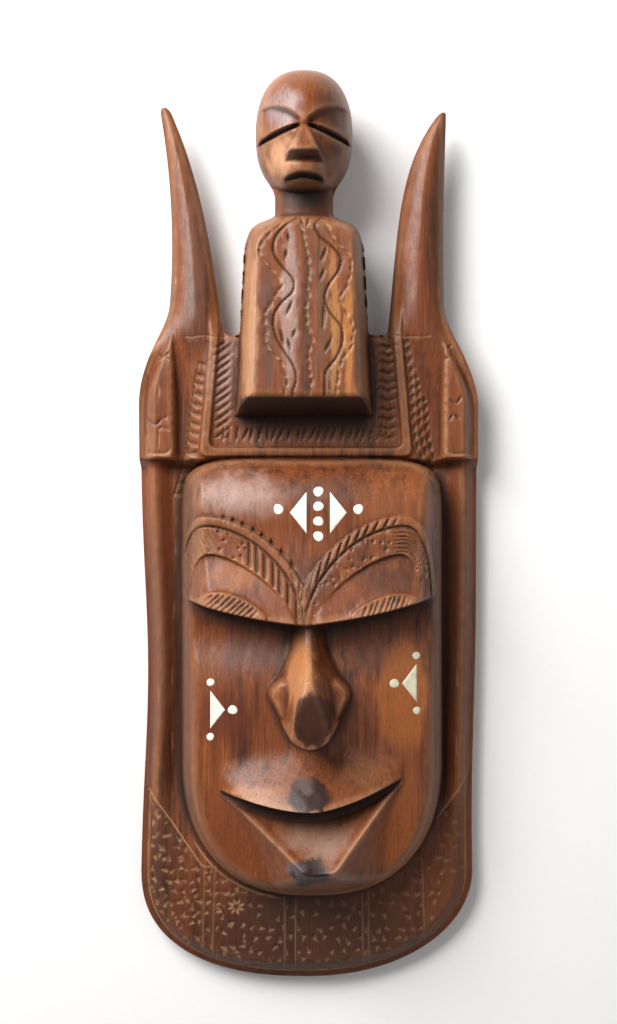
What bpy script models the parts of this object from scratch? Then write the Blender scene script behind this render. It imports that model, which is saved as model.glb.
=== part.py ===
"""Carved wooden mask lying on its back: plank, two horns, a standing figure, a face and let-in inlays.

Lengths are in metres. X runs across the mask, Y from the chin end to the figure's head, Z from the
back to the face. Heights in Z are measured from the flat rim of the back, and places in Y from the
middle of the length.
"""

import bpy
import numpy as np

# Plank
END_Y = -0.250
END_TURN = 0.060
END_ROUND_LEFT = 2.4
END_ROUND_RIGHT = 2.05
PLANK_TOP_Y = 0.105
HALF_LEFT = 0.0934
HALF_RIGHT = 0.0935
WAIST_LEFT = 0.0042
WAIST_LEFT_Y = -0.080
WAIST_RIGHT = 0.0026
WAIST_RIGHT_Y = -0.160
WAIST_REACH = 0.074
EDGE_Z = 0.0105
RIDGE_Z = 0.0175
RIDGE_IN = 0.0080
VALLEY_Z = 0.0125
VALLEY_IN = 0.0180
FIELD_Z = 0.0175
FIELD_IN = 0.0120
FIELD_TOP_Y = -0.160
FIELD_FADE = 0.030
BACK_EDGE = 0.0015

# Horns
SHOULDER_Y = 0.066
SHOULDER_RISE = 0.058
HORN_TIP_LEFT_Y = 0.2315
HORN_TIP_RIGHT_Y = 0.2300
HORN_OUT_LEFT = 0.0752
HORN_OUT_RIGHT = 0.0746
HORN_BOW_LEFT = 0.0050
HORN_BOW_RIGHT = 0.0012
HORN_BOW_Y = 0.155
HORN_BOW_REACH = 0.065
HORN_IN_LEFT = 0.0465
HORN_IN_RIGHT = 0.0438
HORN_LEAN_LEFT = 0.0175
HORN_LEAN_RIGHT = 0.0110
HORN_CURL_LEFT = 0.0130
HORN_CURL_RIGHT = 0.0190
HORN_MID_Z = 0.0165
HORN_FRONT = 0.37
HORN_BACK = 0.37
TIP_ROUND = 0.0040
CROTCH = 0.0050

# Figure
FIGURE_X = -0.0023
HEAD_TOP_Y = 0.2470
HEAD_UP = 0.0345
HEAD_DOWN = 0.0335
HEAD_HALF = 0.0263
HEAD_MID_Z = 0.0290
HEAD_FRONT = 0.0300
HEAD_BACK = 0.0240
HEAD_ROUND = 2.4
NECK_HALF = 0.0158
NECK_FRONT_Z = 0.0400
NECK_BACK_Z = 0.0150
TORSO_TOP_Y = 0.1680
SHOULDER_DROP = 0.0085
TORSO_FOOT_Y = 0.0605
TORSO_HALF_TOP = 0.0318
TORSO_HALF_FOOT = 0.0376
TORSO_FACE_TOP = 0.0255
TORSO_FACE_FOOT = 0.0320
TORSO_TOP_Z = 0.0540
TORSO_FOOT_Z = 0.0610
TORSO_BACK_Z = 0.0080
TORSO_DRAFT = 0.0065
SHOULDER_ROUND = 0.0100

# Headband and the lobes beside it
BAND_Z = 0.0245
RIBBON_RAISE = 0.0028
RIBBON_WIDE = 0.0050
RIBBON_HALF_TOP = 0.0500
RIBBON_HALF_FOOT = 0.0555
RIBBON_FOOT_Y = 0.0410
LOBE_IN = 0.0705
LOBE_FOOT_Y = 0.0360
LOBE_Z = 0.0270
LOBE_VALLEY_Z = 0.0185
LOBE_ROUND = 0.0050

# Face
FACE_X = 0.0020
FACE_HALF = 0.0730
FACE_TOP_Y = 0.0380
FACE_TOP_TURN = 0.0420
FACE_TOP_ROUND = 5.0
FACE_FOOT_Y = -0.2035
FACE_FOOT_TURN = 0.0785
FACE_FOOT_ROUND = 2.4
FACE_TOP_FADE = 0.0220
FACE_WALL = 0.0120
FACE_SLOPE = 1.75
FACE_STEEP = 5.0
CHEEK_Z = 0.0460
CHEEK_ROLL = 0.0050
JAW_Z = 0.0400
SOCKET_DEEP = 0.0070
SOCKET_Y = -0.0570
SOCKET_REACH = 0.0170
FOREHEAD_TOP_Z = 0.0310
FOREHEAD_Z = 0.0515
FOREHEAD_ROLL_Y = 0.0
BROW_Z = 0.0590
BROW_X = -0.0020
BROW_FOOT_Y = -0.0518
BROW_LIFT = 0.0127
BROW_MARGIN = 0.0050
BROW_HALF = FACE_HALF - BROW_MARGIN
BROW_STEP = 0.0026
ARCH_RISE = 0.0525
ARCH_PEAK = 0.76
ARCH_RAISE = 0.0013
ARCH_WIDE = 0.0054
LID_MARGIN = 0.0100
LID_HALF = FACE_HALF - LID_MARGIN
LID_START = 0.07
LID_PEAK = 0.79
LID_RISE = 0.0378
LID_SINK = 0.0022
LID_SWELL = 0.0030

# Nose
NOSE_ROOT_Y = -0.0520
NOSE_FOOT_Y = -0.1150
NOSE_ROOT_Z = 0.0540
NOSE_TIP_Z = 0.0770
NOSE_WING_HALF = 0.0215
NOSE_TIP_FLAT = 0.0092
NOSE_WING_Z = 0.0610

# Mouth
MOUTH_X = 0.0014
MOUTH_MARGIN = 0.0234
MOUTH_HALF = FACE_HALF - MOUTH_MARGIN
LIP_FOOT_Y = -0.1488
LIP_LIFT_LEFT = 0.0093
LIP_LIFT_RIGHT = 0.0157
LIP_Z = 0.0625
CORNER_Z = 0.0450
GAPE = 0.0072
GAPE_Z = 0.0450
LIP_SCOOP = 0.74
CORNER_LEFT_Y = -0.1395
CORNER_RIGHT_Y = -0.1331
CHIN_X = 0.0073
CHIN_Y = -0.1885
CHIN_ROUND = 0.0090
CHIN_FALL = 1.65
LIP_REACH = 0.0340
LIP_BUMP = 0.0030
LIP_RIM = 0.0022

# Hollow of the back
HOLLOW_Y = -0.0850
HOLLOW_HALF_LENGTH = 0.1050
HOLLOW_HALF_WIDTH = 0.0520
HOLLOW_FLOOR = 0.72
HOLLOW_DEEP = 0.0180

# Inlays
INLAY_DEEP = 0.0020
INLAY_PROUD = 0.0002
INLAY_GAP = 0.0003
DOT_SIDES = 10
FOREHEAD_DOT = 0.0052
FOREHEAD_DOT_X = 0.0053
FOREHEAD_DOT_TOP_Y = 0.0192
FOREHEAD_DOT_STEP = 0.0079
FOREHEAD_TRIANGLE_HALF = 0.0110
FOREHEAD_TRIANGLE_WIDE = 0.0088
FOREHEAD_TRIANGLE_Y = 0.0080
FOREHEAD_TRIANGLE_AWAY = 0.0062
FOREHEAD_SIDE_DOT_AWAY = 0.0211
FOREHEAD_SIDE_DOT_LIFT = 0.0018
CHEEK_DOT = 0.0040
CHEEK_TIP_DOT = 0.0049
CHEEK_TRIANGLE_HALF = 0.0101
CHEEK_TRIANGLE_WIDE = 0.0079
CHEEK_DOT_AWAY = 0.0145
CHEEK_TIP_DOT_AWAY = 0.0120
LEFT_CHEEK_IN = 0.0187
LEFT_CHEEK_X = FACE_X - FACE_HALF + LEFT_CHEEK_IN
LEFT_CHEEK_Y = -0.0971
RIGHT_CHEEK_IN = 0.0171
RIGHT_CHEEK_X = FACE_X + FACE_HALF - RIGHT_CHEEK_IN
RIGHT_CHEEK_Y = -0.0831

# The solid's grain: the sheet's cells per length, and how many faces are kept
CELLS = 360
KEPT_FACES = 7850

TINY = 1.0e-9
LENGTH = HEAD_TOP_Y - END_Y
CELL = LENGTH / CELLS


def ease(low, high, value):
    """0 up to low, 1 from high, with a smooth rise between."""
    share = np.clip((value - low) / (high - low), 0.0, 1.0)
    return share * share * (3.0 - 2.0 * share)


def soft_min(first, second, blend):
    """The lower of two heights, rounded over where they cross."""
    share = np.clip(0.5 + 0.5 * (second - first) / blend, 0.0, 1.0)
    return second + (first - second) * share - blend * share * (1.0 - share)


def soft_max(first, second, blend):
    """The higher of two heights, filleted where they cross."""
    return -soft_min(-first, -second, blend)


def mix(first, second, share):
    """first at share 0 and second at share 1."""
    return first + (second - first) * share


def flow(value, stations, sizes):
    """A smooth curve through sizes at rising stations."""
    stations = np.asarray(stations, float)
    sizes = np.asarray(sizes, float)
    slopes = np.gradient(sizes, stations)
    index = np.clip(np.searchsorted(stations, value) - 1, 0, len(stations) - 2)
    span = stations[index + 1] - stations[index]
    t = np.clip((value - stations[index]) / span, 0.0, 1.0)
    start = (1.0 + 2.0 * t) * (1.0 - t) ** 2 * sizes[index]
    end = t * t * (3.0 - 2.0 * t) * sizes[index + 1]
    leave = t * (1.0 - t) ** 2 * span * slopes[index]
    arrive = t * t * (t - 1.0) * span * slopes[index + 1]
    return start + end + leave + arrive


def bump(value, middle, reach):
    """1 at the middle, fading to both sides over the reach."""
    return np.exp(-(((value - middle) / reach) ** 2))


def oval(across, along, half, length, power):
    """Distance in from a rounded end, measured along the ray from its centre."""
    across = np.abs(across) + TINY
    along = np.maximum(along, 0.0)
    ray = np.hypot(across, along)
    rho = ((across / half) ** power + (along / length) ** power) ** (1.0 / power)
    return ray * (1.0 / rho - 1.0)


def outer_half(x, y):
    """How far the silhouette stands from the axis on this side of it."""
    plank = np.where(
        x < 0.0,
        HALF_LEFT - WAIST_LEFT * bump(y, WAIST_LEFT_Y, WAIST_REACH),
        HALF_RIGHT - WAIST_RIGHT * bump(y, WAIST_RIGHT_Y, WAIST_REACH),
    )
    bow = ((y - HORN_BOW_Y) / HORN_BOW_REACH) ** 2
    horn = np.where(
        x < 0.0,
        HORN_OUT_LEFT + HORN_BOW_LEFT * bow,
        HORN_OUT_RIGHT + HORN_BOW_RIGHT * bow,
    )
    return mix(plank, horn, ease(SHOULDER_Y, SHOULDER_Y + SHOULDER_RISE, y))


def inner_half(x, y):
    """How far the inner side of the horn stands from the axis."""
    tip = np.where(x < 0.0, HORN_TIP_LEFT_Y, HORN_TIP_RIGHT_Y)
    share = np.clip((y - PLANK_TOP_Y) / (tip - PLANK_TOP_Y), 0.0, 1.1)
    left = HORN_IN_LEFT + HORN_LEAN_LEFT * share + HORN_CURL_LEFT * share**3
    right = HORN_IN_RIGHT + HORN_LEAN_RIGHT * share + HORN_CURL_RIGHT * share**5
    return np.where(x < 0.0, left, right)


def neck_share(x, y):
    """0 beside and above the neck, 1 on its axis."""
    return np.clip(1.0 - np.abs(x - FIGURE_X) / NECK_HALF, 0.0, 1.0) * (y < HEAD_TOP_Y - HEAD_UP)


def torso_half(y):
    """Half the figure's breadth at the plank's level."""
    share = np.clip((TORSO_TOP_Y - y) / (TORSO_TOP_Y - TORSO_FOOT_Y), 0.0, 1.0)
    return mix(TORSO_HALF_TOP, TORSO_HALF_FOOT, share)


def head_in(x, y):
    """Distance in from the head's silhouette."""
    middle = HEAD_TOP_Y - HEAD_UP
    upper = oval(x - FIGURE_X, y - middle, HEAD_HALF, HEAD_UP, HEAD_ROUND)
    lower = oval(x - FIGURE_X, middle - y, HEAD_HALF, HEAD_DOWN, HEAD_ROUND)
    return np.where(y > middle, upper, lower)


def torso_in(x, y):
    """Distance in from the figure's shoulders and flanks."""
    flank = torso_half(y) - np.abs(x - FIGURE_X)
    flank = np.minimum(flank, y - TORSO_FOOT_Y)
    top = TORSO_TOP_Y - SHOULDER_DROP * ((x - FIGURE_X) / TORSO_HALF_TOP) ** 2
    return soft_min(flank, top - y, SHOULDER_ROUND)


def outline(x, y):
    """Distance in from the silhouette, negative outside it."""
    turn_y = END_Y + END_TURN
    half = outer_half(x, np.maximum(y, turn_y))
    power = np.where(x < 0.0, END_ROUND_LEFT, END_ROUND_RIGHT)
    rounded = oval(x, turn_y - y, half, END_TURN, power)
    outer = np.where(y < turn_y, rounded, half - np.abs(x))
    tip = np.where(x < 0.0, HORN_TIP_LEFT_Y, HORN_TIP_RIGHT_Y)
    outer = soft_min(outer, tip - y, TIP_ROUND)
    within = soft_max(PLANK_TOP_Y - y, np.abs(x) - inner_half(x, y), CROTCH)
    neck_y = HEAD_TOP_Y - HEAD_UP
    neck = np.minimum(NECK_HALF - np.abs(x - FIGURE_X), neck_y - y)
    neck = np.minimum(neck, y - TORSO_TOP_Y + SHOULDER_ROUND)
    figure = soft_max(torso_in(x, y), neck, CROTCH)
    figure = soft_max(figure, head_in(x, y), CROTCH)
    body = soft_min(outer, within, TIP_ROUND)
    return soft_max(body, figure, CROTCH * 0.5)


def face_in(x, y):
    """Distance in from the outline of the face."""
    across = x - FACE_X
    top_y = FACE_TOP_Y - FACE_TOP_TURN
    foot_y = FACE_FOOT_Y + FACE_FOOT_TURN
    top = oval(across, y - top_y, FACE_HALF, FACE_TOP_TURN, FACE_TOP_ROUND)
    foot = oval(across, foot_y - y, FACE_HALF, FACE_FOOT_TURN, FACE_FOOT_ROUND)
    side = FACE_HALF - np.abs(across)
    return np.where(y > top_y, top, np.where(y < foot_y, foot, side))


def plank_front(x, y, edge):
    """The plank: a ridge along each side, a dished field round the chin."""
    ridge = mix(EDGE_Z, RIDGE_Z, ease(0.0, RIDGE_IN, edge))
    ridge = ridge - (RIDGE_Z - VALLEY_Z) * ease(RIDGE_IN, VALLEY_IN, edge)
    field = mix(EDGE_Z, FIELD_Z, ease(0.0, FIELD_IN, edge))
    lower = ease(FIELD_TOP_Y + FIELD_FADE, FIELD_TOP_Y - FIELD_FADE, y)
    return mix(ridge, field, lower)


def headband_front(x, y):
    """The headband's field with its U-shaped ribbon, falling away to the lobes."""
    down = np.clip((PLANK_TOP_Y - y) / (PLANK_TOP_Y - RIBBON_FOOT_Y), 0.0, 1.0)
    ribbon_x = mix(RIBBON_HALF_TOP, RIBBON_HALF_FOOT, down)
    across = np.abs(x + RIBBON_RAISE * 0.5) - ribbon_x
    below = RIBBON_FOOT_Y - y
    away = np.abs(soft_max(across, below, RIBBON_WIDE))
    wide = RIBBON_WIDE * 0.5
    raised = RIBBON_RAISE * ease(wide * 1.3, wide * 0.7, away)
    valley = mix(LOBE_VALLEY_Z, BAND_Z, ease(RIBBON_FOOT_Y + 0.020, PLANK_TOP_Y, y))
    fall = ease(wide, LOBE_IN - ribbon_x, across)
    return mix(BAND_Z, valley, fall) + raised


def lobe_front(x, y, edge):
    """The smooth lobe that hangs below each horn."""
    within = soft_min(np.abs(x) - LOBE_IN, y - LOBE_FOOT_Y, LOBE_ROUND)
    rise = ease(-0.0008, LOBE_ROUND * 0.6, within)
    crown = mix(EDGE_Z + 0.4 * (LOBE_Z - EDGE_Z), LOBE_Z, ease(0.0, RIDGE_IN * 1.2, edge))
    return mix(VALLEY_Z * 0.5, crown, rise)


def horn_round(x, y):
    """Share of the horn's thickness across its width, with a soft ridge."""
    outer = outer_half(x, y)
    inner = inner_half(x, y)
    width = np.maximum(outer - inner, TINY)
    share = np.clip((np.abs(x) - inner) / width, 0.0, 1.0)
    ridge = 0.47
    near = np.where(share < ridge, share / ridge, (1.0 - share) / (1.0 - ridge))
    return width, 0.72 * np.sqrt(np.clip(1.0 - (1.0 - near) ** 2, 0.0, 1.0)) + 0.28 * near


def brow_foot(x):
    """Height in Y of the lids' lower edge."""
    return BROW_FOOT_Y + BROW_LIFT * (np.abs(x - BROW_X) / LID_HALF) ** 1.5


def arch_in(x, y, start, peak, half, rise, inner_power, outer_power):
    """Distance in from a brow arch that springs at start, peaks and turns down at half, on both sides."""
    away = np.abs(x - BROW_X)
    crown = half * peak
    inner = oval(crown - away, y - BROW_FOOT_Y, crown - half * start, rise, inner_power)
    outer = oval(away - crown, y - BROW_FOOT_Y, half - crown, rise, outer_power)
    return np.where(away < crown, inner, outer)


def forehead(x, y):
    """The plain forehead, rolling back to the headband and swelling down to the lids' lower edge."""
    across = ((x - FACE_X) / FACE_HALF) ** 2
    swell = (BROW_Z - FOREHEAD_Z) * ease(FOREHEAD_ROLL_Y, BROW_FOOT_Y, y)
    roll = np.clip((y - FOREHEAD_ROLL_Y) / (FACE_TOP_Y - FOREHEAD_ROLL_Y), 0.0, 1.0)
    return FOREHEAD_Z + swell - (FOREHEAD_Z - FOREHEAD_TOP_Z) * roll**3 - CHEEK_ROLL * across


def brow_relief(x, y):
    """Brow arches raised from the forehead, and the lids sunk below them and swelling to their edge."""
    lid = arch_in(x, y, LID_START, LID_PEAK, LID_HALF, LID_RISE, 1.5, 2.4)
    within = ease(-0.0006, 0.0010, lid)
    low = np.clip((y - brow_foot(x)) / (LID_RISE * 0.8), 0.0, 1.0)
    groove = arch_in(x, y, 0.0, ARCH_PEAK, BROW_HALF, ARCH_RISE, 1.75, 2.6)
    outside = ease(-ARCH_WIDE - 0.0007, -ARCH_WIDE + 0.0007, groove)
    ribbon = outside * ease(0.0007, -0.0007, groove)
    band = ease(-0.0007, 0.0007, groove) * (1.0 - within)
    raised = ARCH_RAISE * ribbon + ARCH_RAISE * 0.4 * band
    return raised + within * mix(LID_SWELL, -LID_SINK, low**0.7)


def cheeks(x, y):
    """The face below the lids, without nose and lips."""
    across = (x - FACE_X) / FACE_HALF
    chin = ease(CHIN_Y + 0.045, FACE_FOOT_Y, y)
    height = mix(CHEEK_Z, JAW_Z, chin) - CHEEK_ROLL * across**2
    return height - SOCKET_DEEP * bump(y, SOCKET_Y, SOCKET_REACH) * (1.0 - 0.4 * across**2)


def nose(x, y, ground):
    """The nose: a roofed bridge, two wedge wings and a broad flat-topped tip."""
    share = np.clip((NOSE_ROOT_Y - y) / (NOSE_ROOT_Y - NOSE_FOOT_Y), 0.0, 1.0)
    away = np.abs(x - FACE_X * 0.5 * share)
    stations = (0.0, 0.2, 0.43, 0.75, 1.0)
    crests = (NOSE_ROOT_Z, NOSE_ROOT_Z * 1.1, NOSE_TIP_Z * 0.975, NOSE_TIP_Z, NOSE_TIP_Z * 0.96)
    crest = flow(share, stations, crests)
    flat = NOSE_TIP_FLAT * flow(share, (0.0, 0.4, 0.87, 1.0), (0.16, 0.2, 1.0, 1.0))
    roof = crest - mix(2.1, 3.6, ease(0.4, 0.8, share)) * np.maximum(away - flat, 0.0)
    stations = (0.0, 0.30, 0.40, 0.55, 0.72, 0.9, 1.0)
    spread = NOSE_WING_HALF * flow(share, stations, (0.33, 0.44, 0.62, 1.0, 0.82, 0.58, 0.5))
    wing = NOSE_WING_Z - 0.32 * away - 2.4 * np.maximum(away - spread + 0.0025, 0.0)
    wing = mix(ground - 0.002, wing, ease(0.28, 0.5, share))
    shape = soft_max(roof, wing, 0.0015)
    foot = NOSE_FOOT_Y + 0.007 * np.clip(away / NOSE_WING_HALF * 1.8, 0.0, 2.0) ** 2
    shape = mix(ground - 0.002, shape, ease(foot - 0.0012, foot + 0.0016, y))
    shape = mix(shape, ground - 0.002, ease(NOSE_ROOT_Y, NOSE_ROOT_Y + 0.003, y))
    return soft_max(ground, shape, 0.0020)


def mouth(x, y, ground):
    """The lips: an overhanging upper lip, a dark gape and a lower lip cut to a V."""
    side = (x - MOUTH_X) / MOUTH_HALF
    span = np.clip(1.0 - side**2, 0.0, 1.0)
    lift = np.where(side < 0.0, LIP_LIFT_LEFT * side**2, LIP_LIFT_RIGHT * np.abs(side) ** 1.6)
    lip_y = LIP_FOOT_Y + lift
    over = (LIP_Z - CORNER_Z) * span**0.9 + LIP_BUMP * bump(side, 0.0, 0.3)
    above = np.clip((y - lip_y) / (LIP_REACH * mix(0.45, 1.0, span)), 0.0, 1.0)
    upper = ground + over * mix((1.0 - above) ** 2, 1.0 - ease(0.0, 1.0, above), 0.55)
    gape_y = lip_y - GAPE * span**0.6
    gape = mix(ground, GAPE_Z, ease(0.0, 0.45, span))
    scoop = gape + LIP_SCOOP * (gape_y - y)
    left = (CORNER_LEFT_Y - CHIN_Y) / (MOUTH_HALF + CHIN_X - MOUTH_X)
    right = (CORNER_RIGHT_Y - CHIN_Y) / (MOUTH_HALF - CHIN_X + MOUTH_X)
    beyond_left = (CHIN_Y + left * (CHIN_X - x) - y) / np.hypot(left, 1.0)
    beyond_right = (CHIN_Y + right * (x - CHIN_X) - y) / np.hypot(right, 1.0)
    beyond = soft_max(beyond_left, beyond_right, CHIN_ROUND)
    lower = soft_max(scoop - CHIN_FALL * soft_max(beyond, 0.0, 0.003), ground, 0.002)
    within = ease(0.002, -0.001, beyond)
    below = mix(lower, np.maximum(gape, scoop), within * ease(0.0, 0.1, span))
    below = below + LIP_RIM * bump(beyond, -0.0008, 0.0022) * ease(0.0, 0.06, span)
    below = mix(below, gape, ease(-0.0015, 0.0, y - gape_y) * ease(0.0, 0.1, span))
    shape = mix(below, upper, ease(lip_y - 0.0012, lip_y + 0.0012, y))
    return np.where(np.abs(side) < 1.0, shape, ground)


def face_front(x, y):
    """The whole face over its outline, with its chamfered border."""
    lower = cheeks(x, y)
    lower = mouth(x, y, lower)
    lower = nose(x, y, lower)
    foot = brow_foot(x)
    within = face_in(x, y)
    ground = mix(VALLEY_Z, BAND_Z, ease(FACE_TOP_Y - FACE_TOP_FADE, FACE_TOP_Y, y))
    wall = ground + FACE_STEEP * within
    border = soft_min(ground + FACE_WALL + FACE_SLOPE * within, wall, 0.004)
    lower = soft_min(lower, border, 0.005)
    upper = soft_min(forehead(x, y), border, 0.005) + brow_relief(x, y)
    return mix(lower, upper, ease(foot - BROW_STEP * 0.5, foot + BROW_STEP * 0.5, y))


def torso_front(x, y):
    """The figure's body: a trapezoid block with chamfered flanks and an undercut foot."""
    share = np.clip((TORSO_TOP_Y - y) / (TORSO_TOP_Y - TORSO_FOOT_Y), 0.0, 1.0)
    front = mix(TORSO_TOP_Z, TORSO_FOOT_Z, share)
    half = torso_half(y)
    face_half = mix(TORSO_FACE_TOP, TORSO_FACE_FOOT, share)
    steep = (front - BAND_Z) / np.maximum(half - face_half, TINY)
    away = np.abs(x - FIGURE_X)
    flank = BAND_Z + steep * (half - away)
    crown = NECK_FRONT_Z + 2.6 * torso_in(x, y)
    body = soft_min(soft_min(front, flank, 0.006), crown, 0.008)
    foot = (y - TORSO_FOOT_Y) * (front - BAND_Z) / TORSO_DRAFT + BAND_Z
    return soft_min(body, foot, 0.0012)


def head_front(x, y):
    """The figure's head with its brow wedge, heavy lids over eye slits, wedge nose and muzzle."""
    u = (x - FIGURE_X) / HEAD_HALF
    v = (y - HEAD_TOP_Y + HEAD_UP) / HEAD_UP
    away = np.abs(u)
    share = np.clip(head_in(x, y) / HEAD_HALF, 0.0, 1.0)
    blunt = 2.0 + 5.0 * bump(u, 0.0, 0.45) * ease(-0.35, -0.75, v)
    ball = HEAD_MID_Z + HEAD_FRONT * np.sqrt(np.clip(1.0 - (1.0 - share) ** blunt, 0.0, 1.0))
    slit_v = -0.02 - 0.22 * away
    brow_v = -0.02 + 0.75 * away - 0.45 * away**2
    under = ease(brow_v + 0.03, brow_v - 0.03, v) * ease(0.95, 0.78, away) * ease(0.03, 0.12, away)
    depth = np.clip((v - slit_v) / np.maximum(brow_v - slit_v, 0.05), 0.0, 1.0)
    lid = under * ease(slit_v - 0.02, slit_v + 0.02, v) * (0.3 + 0.7 * depth)
    thin = 0.062 * np.sqrt(np.clip(1.0 - ((away - 0.48) / 0.46) ** 2, 0.02, 1.0))
    slit = np.clip(1.0 - np.abs(v - slit_v) / thin, 0.0, 1.0)
    slit = slit * ease(0.03, 0.12, away) * ease(0.97, 0.88, away)
    below = np.clip(-0.05 - v, 0.0, 1.0)
    half = 0.06 + 0.62 * below
    wedge = np.clip(below / 0.41, 0.0, 1.0) ** 0.8 * ease(half + 0.05, half - 0.05, away)
    wedge = wedge * ease(0.555, 0.43, below)
    hollow = ease(0.02, 0.18, below) * ease(0.12, 0.38, away)
    hollow = hollow * ease(1.05, 0.6, below) * ease(0.95, 0.6, away)
    muzzle = ease(0.50, 0.30, away + 0.1 * (v + 0.7)) * ease(-0.54, -0.66, v)
    lips_v = -0.81 - 0.06 * away
    thin = 0.052 * np.clip(1.0 - (away / 0.42) ** 2, 0.02, 1.0)
    lips = np.clip(1.0 - np.abs(v - lips_v) / thin, 0.0, 1.0) * ease(0.44, 0.36, away)
    crest = 0.0022 * ease(-0.08, 0.02, v) * ease(0.95, 0.4, v) * (1.0 - 1.7 * away) * (1.0 - under)
    ball = ball + crest - 0.0036 * lid - 0.0052 * slit - 0.0018 * hollow
    return ball + 0.0092 * wedge + 0.0030 * muzzle - 0.0046 * lips


def back_sheet(x, y, edge):
    """The underside: a flat rim round a shallow hollow, rounded backs on horns and figure."""
    plain = BACK_EDGE * ease(BACK_EDGE * 1.5, 0.0, edge)
    across = np.abs(x - FACE_X) / HOLLOW_HALF_WIDTH
    along = np.abs(y - HOLLOW_Y) / HOLLOW_HALF_LENGTH
    rho = (across**2.6 + along**2.6) ** (1.0 / 2.6)
    plain = plain + HOLLOW_DEEP * ease(1.0, HOLLOW_FLOOR, rho)
    width, round_share = horn_round(x, y)
    horn = HORN_MID_Z - HORN_BACK * width * round_share
    head = np.clip(head_in(x, y) / HEAD_HALF, 0.0, 1.0)
    skull = HEAD_MID_Z - HEAD_BACK * np.sqrt(np.clip(1.0 - (1.0 - head) ** 2.0, 0.0, 1.0))
    torso = np.clip(torso_in(x, y) / SHOULDER_ROUND, 0.0, 1.0)
    body = mix(BAND_Z * 0.9, TORSO_BACK_Z, np.sqrt(1.0 - (1.0 - torso) ** 2))
    neck = neck_share(x, y)
    nape = mix(HEAD_MID_Z, NECK_BACK_Z, np.sqrt(1.0 - (1.0 - neck) ** 2))
    body = np.where(torso > 0.0, body, nape)
    body = np.minimum(body, np.where(neck > 0.0, nape, body))
    body = np.where(head_in(x, y) > 0.0, soft_min(body, skull, 0.004), body)
    limb = np.where(np.abs(x) < (HORN_IN_RIGHT + TORSO_HALF_FOOT) * 0.5, body, horn)
    return mix(plain, limb, ease(PLANK_TOP_Y - 0.010, PLANK_TOP_Y + 0.015, y))


def front_sheet(x, y):
    """The carved side."""
    edge = np.maximum(outline(x, y), 0.0)
    band = headband_front(x, y)
    lobe = lobe_front(x, y, edge)
    plank = plank_front(x, y, edge)
    base = mix(plank, band, ease(LOBE_FOOT_Y - 0.004, LOBE_FOOT_Y + 0.002, y))
    base = soft_max(base, lobe, 0.0012)
    width, round_share = horn_round(x, y)
    horn = HORN_MID_Z + HORN_FRONT * width * round_share
    base = mix(base, horn, ease(PLANK_TOP_Y - 0.014, PLANK_TOP_Y + 0.020, y))
    near = np.abs(x) < (HORN_IN_RIGHT + TORSO_HALF_FOOT) * 0.5
    base = np.where(near & (y > PLANK_TOP_Y), BAND_Z, base)
    base = np.where(face_in(x, y) > 0.0, soft_max(base, face_front(x, y), 0.002), base)
    on_torso = (torso_in(x, y) > -0.002) & (y > TORSO_FOOT_Y)
    base = np.where(on_torso, soft_max(base, torso_front(x, y), 0.002), base)
    neck = neck_share(x, y)
    throat = mix(HEAD_MID_Z, NECK_FRONT_Z, np.sqrt(1.0 - (1.0 - neck) ** 2))
    on_neck = (neck > 0.0) & (y > TORSO_TOP_Y - SHOULDER_ROUND)
    base = np.where(on_neck, np.maximum(throat, np.where(on_torso, base, 0.0)), base)
    in_head = head_in(x, y)
    base = np.where(in_head > 0.0, np.maximum(head_front(x, y), throat * (neck > 0.0)), base)
    return np.maximum(base, back_sheet(x, y, edge) + 0.0010)


def slope_of(x, y):
    """Gradient of the silhouette distance."""
    reach = CELL * 0.05
    across = (outline(x + reach, y) - outline(x - reach, y)) / (2.0 * reach)
    along = (outline(x, y + reach) - outline(x, y - reach)) / (2.0 * reach)
    return across, along


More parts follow.
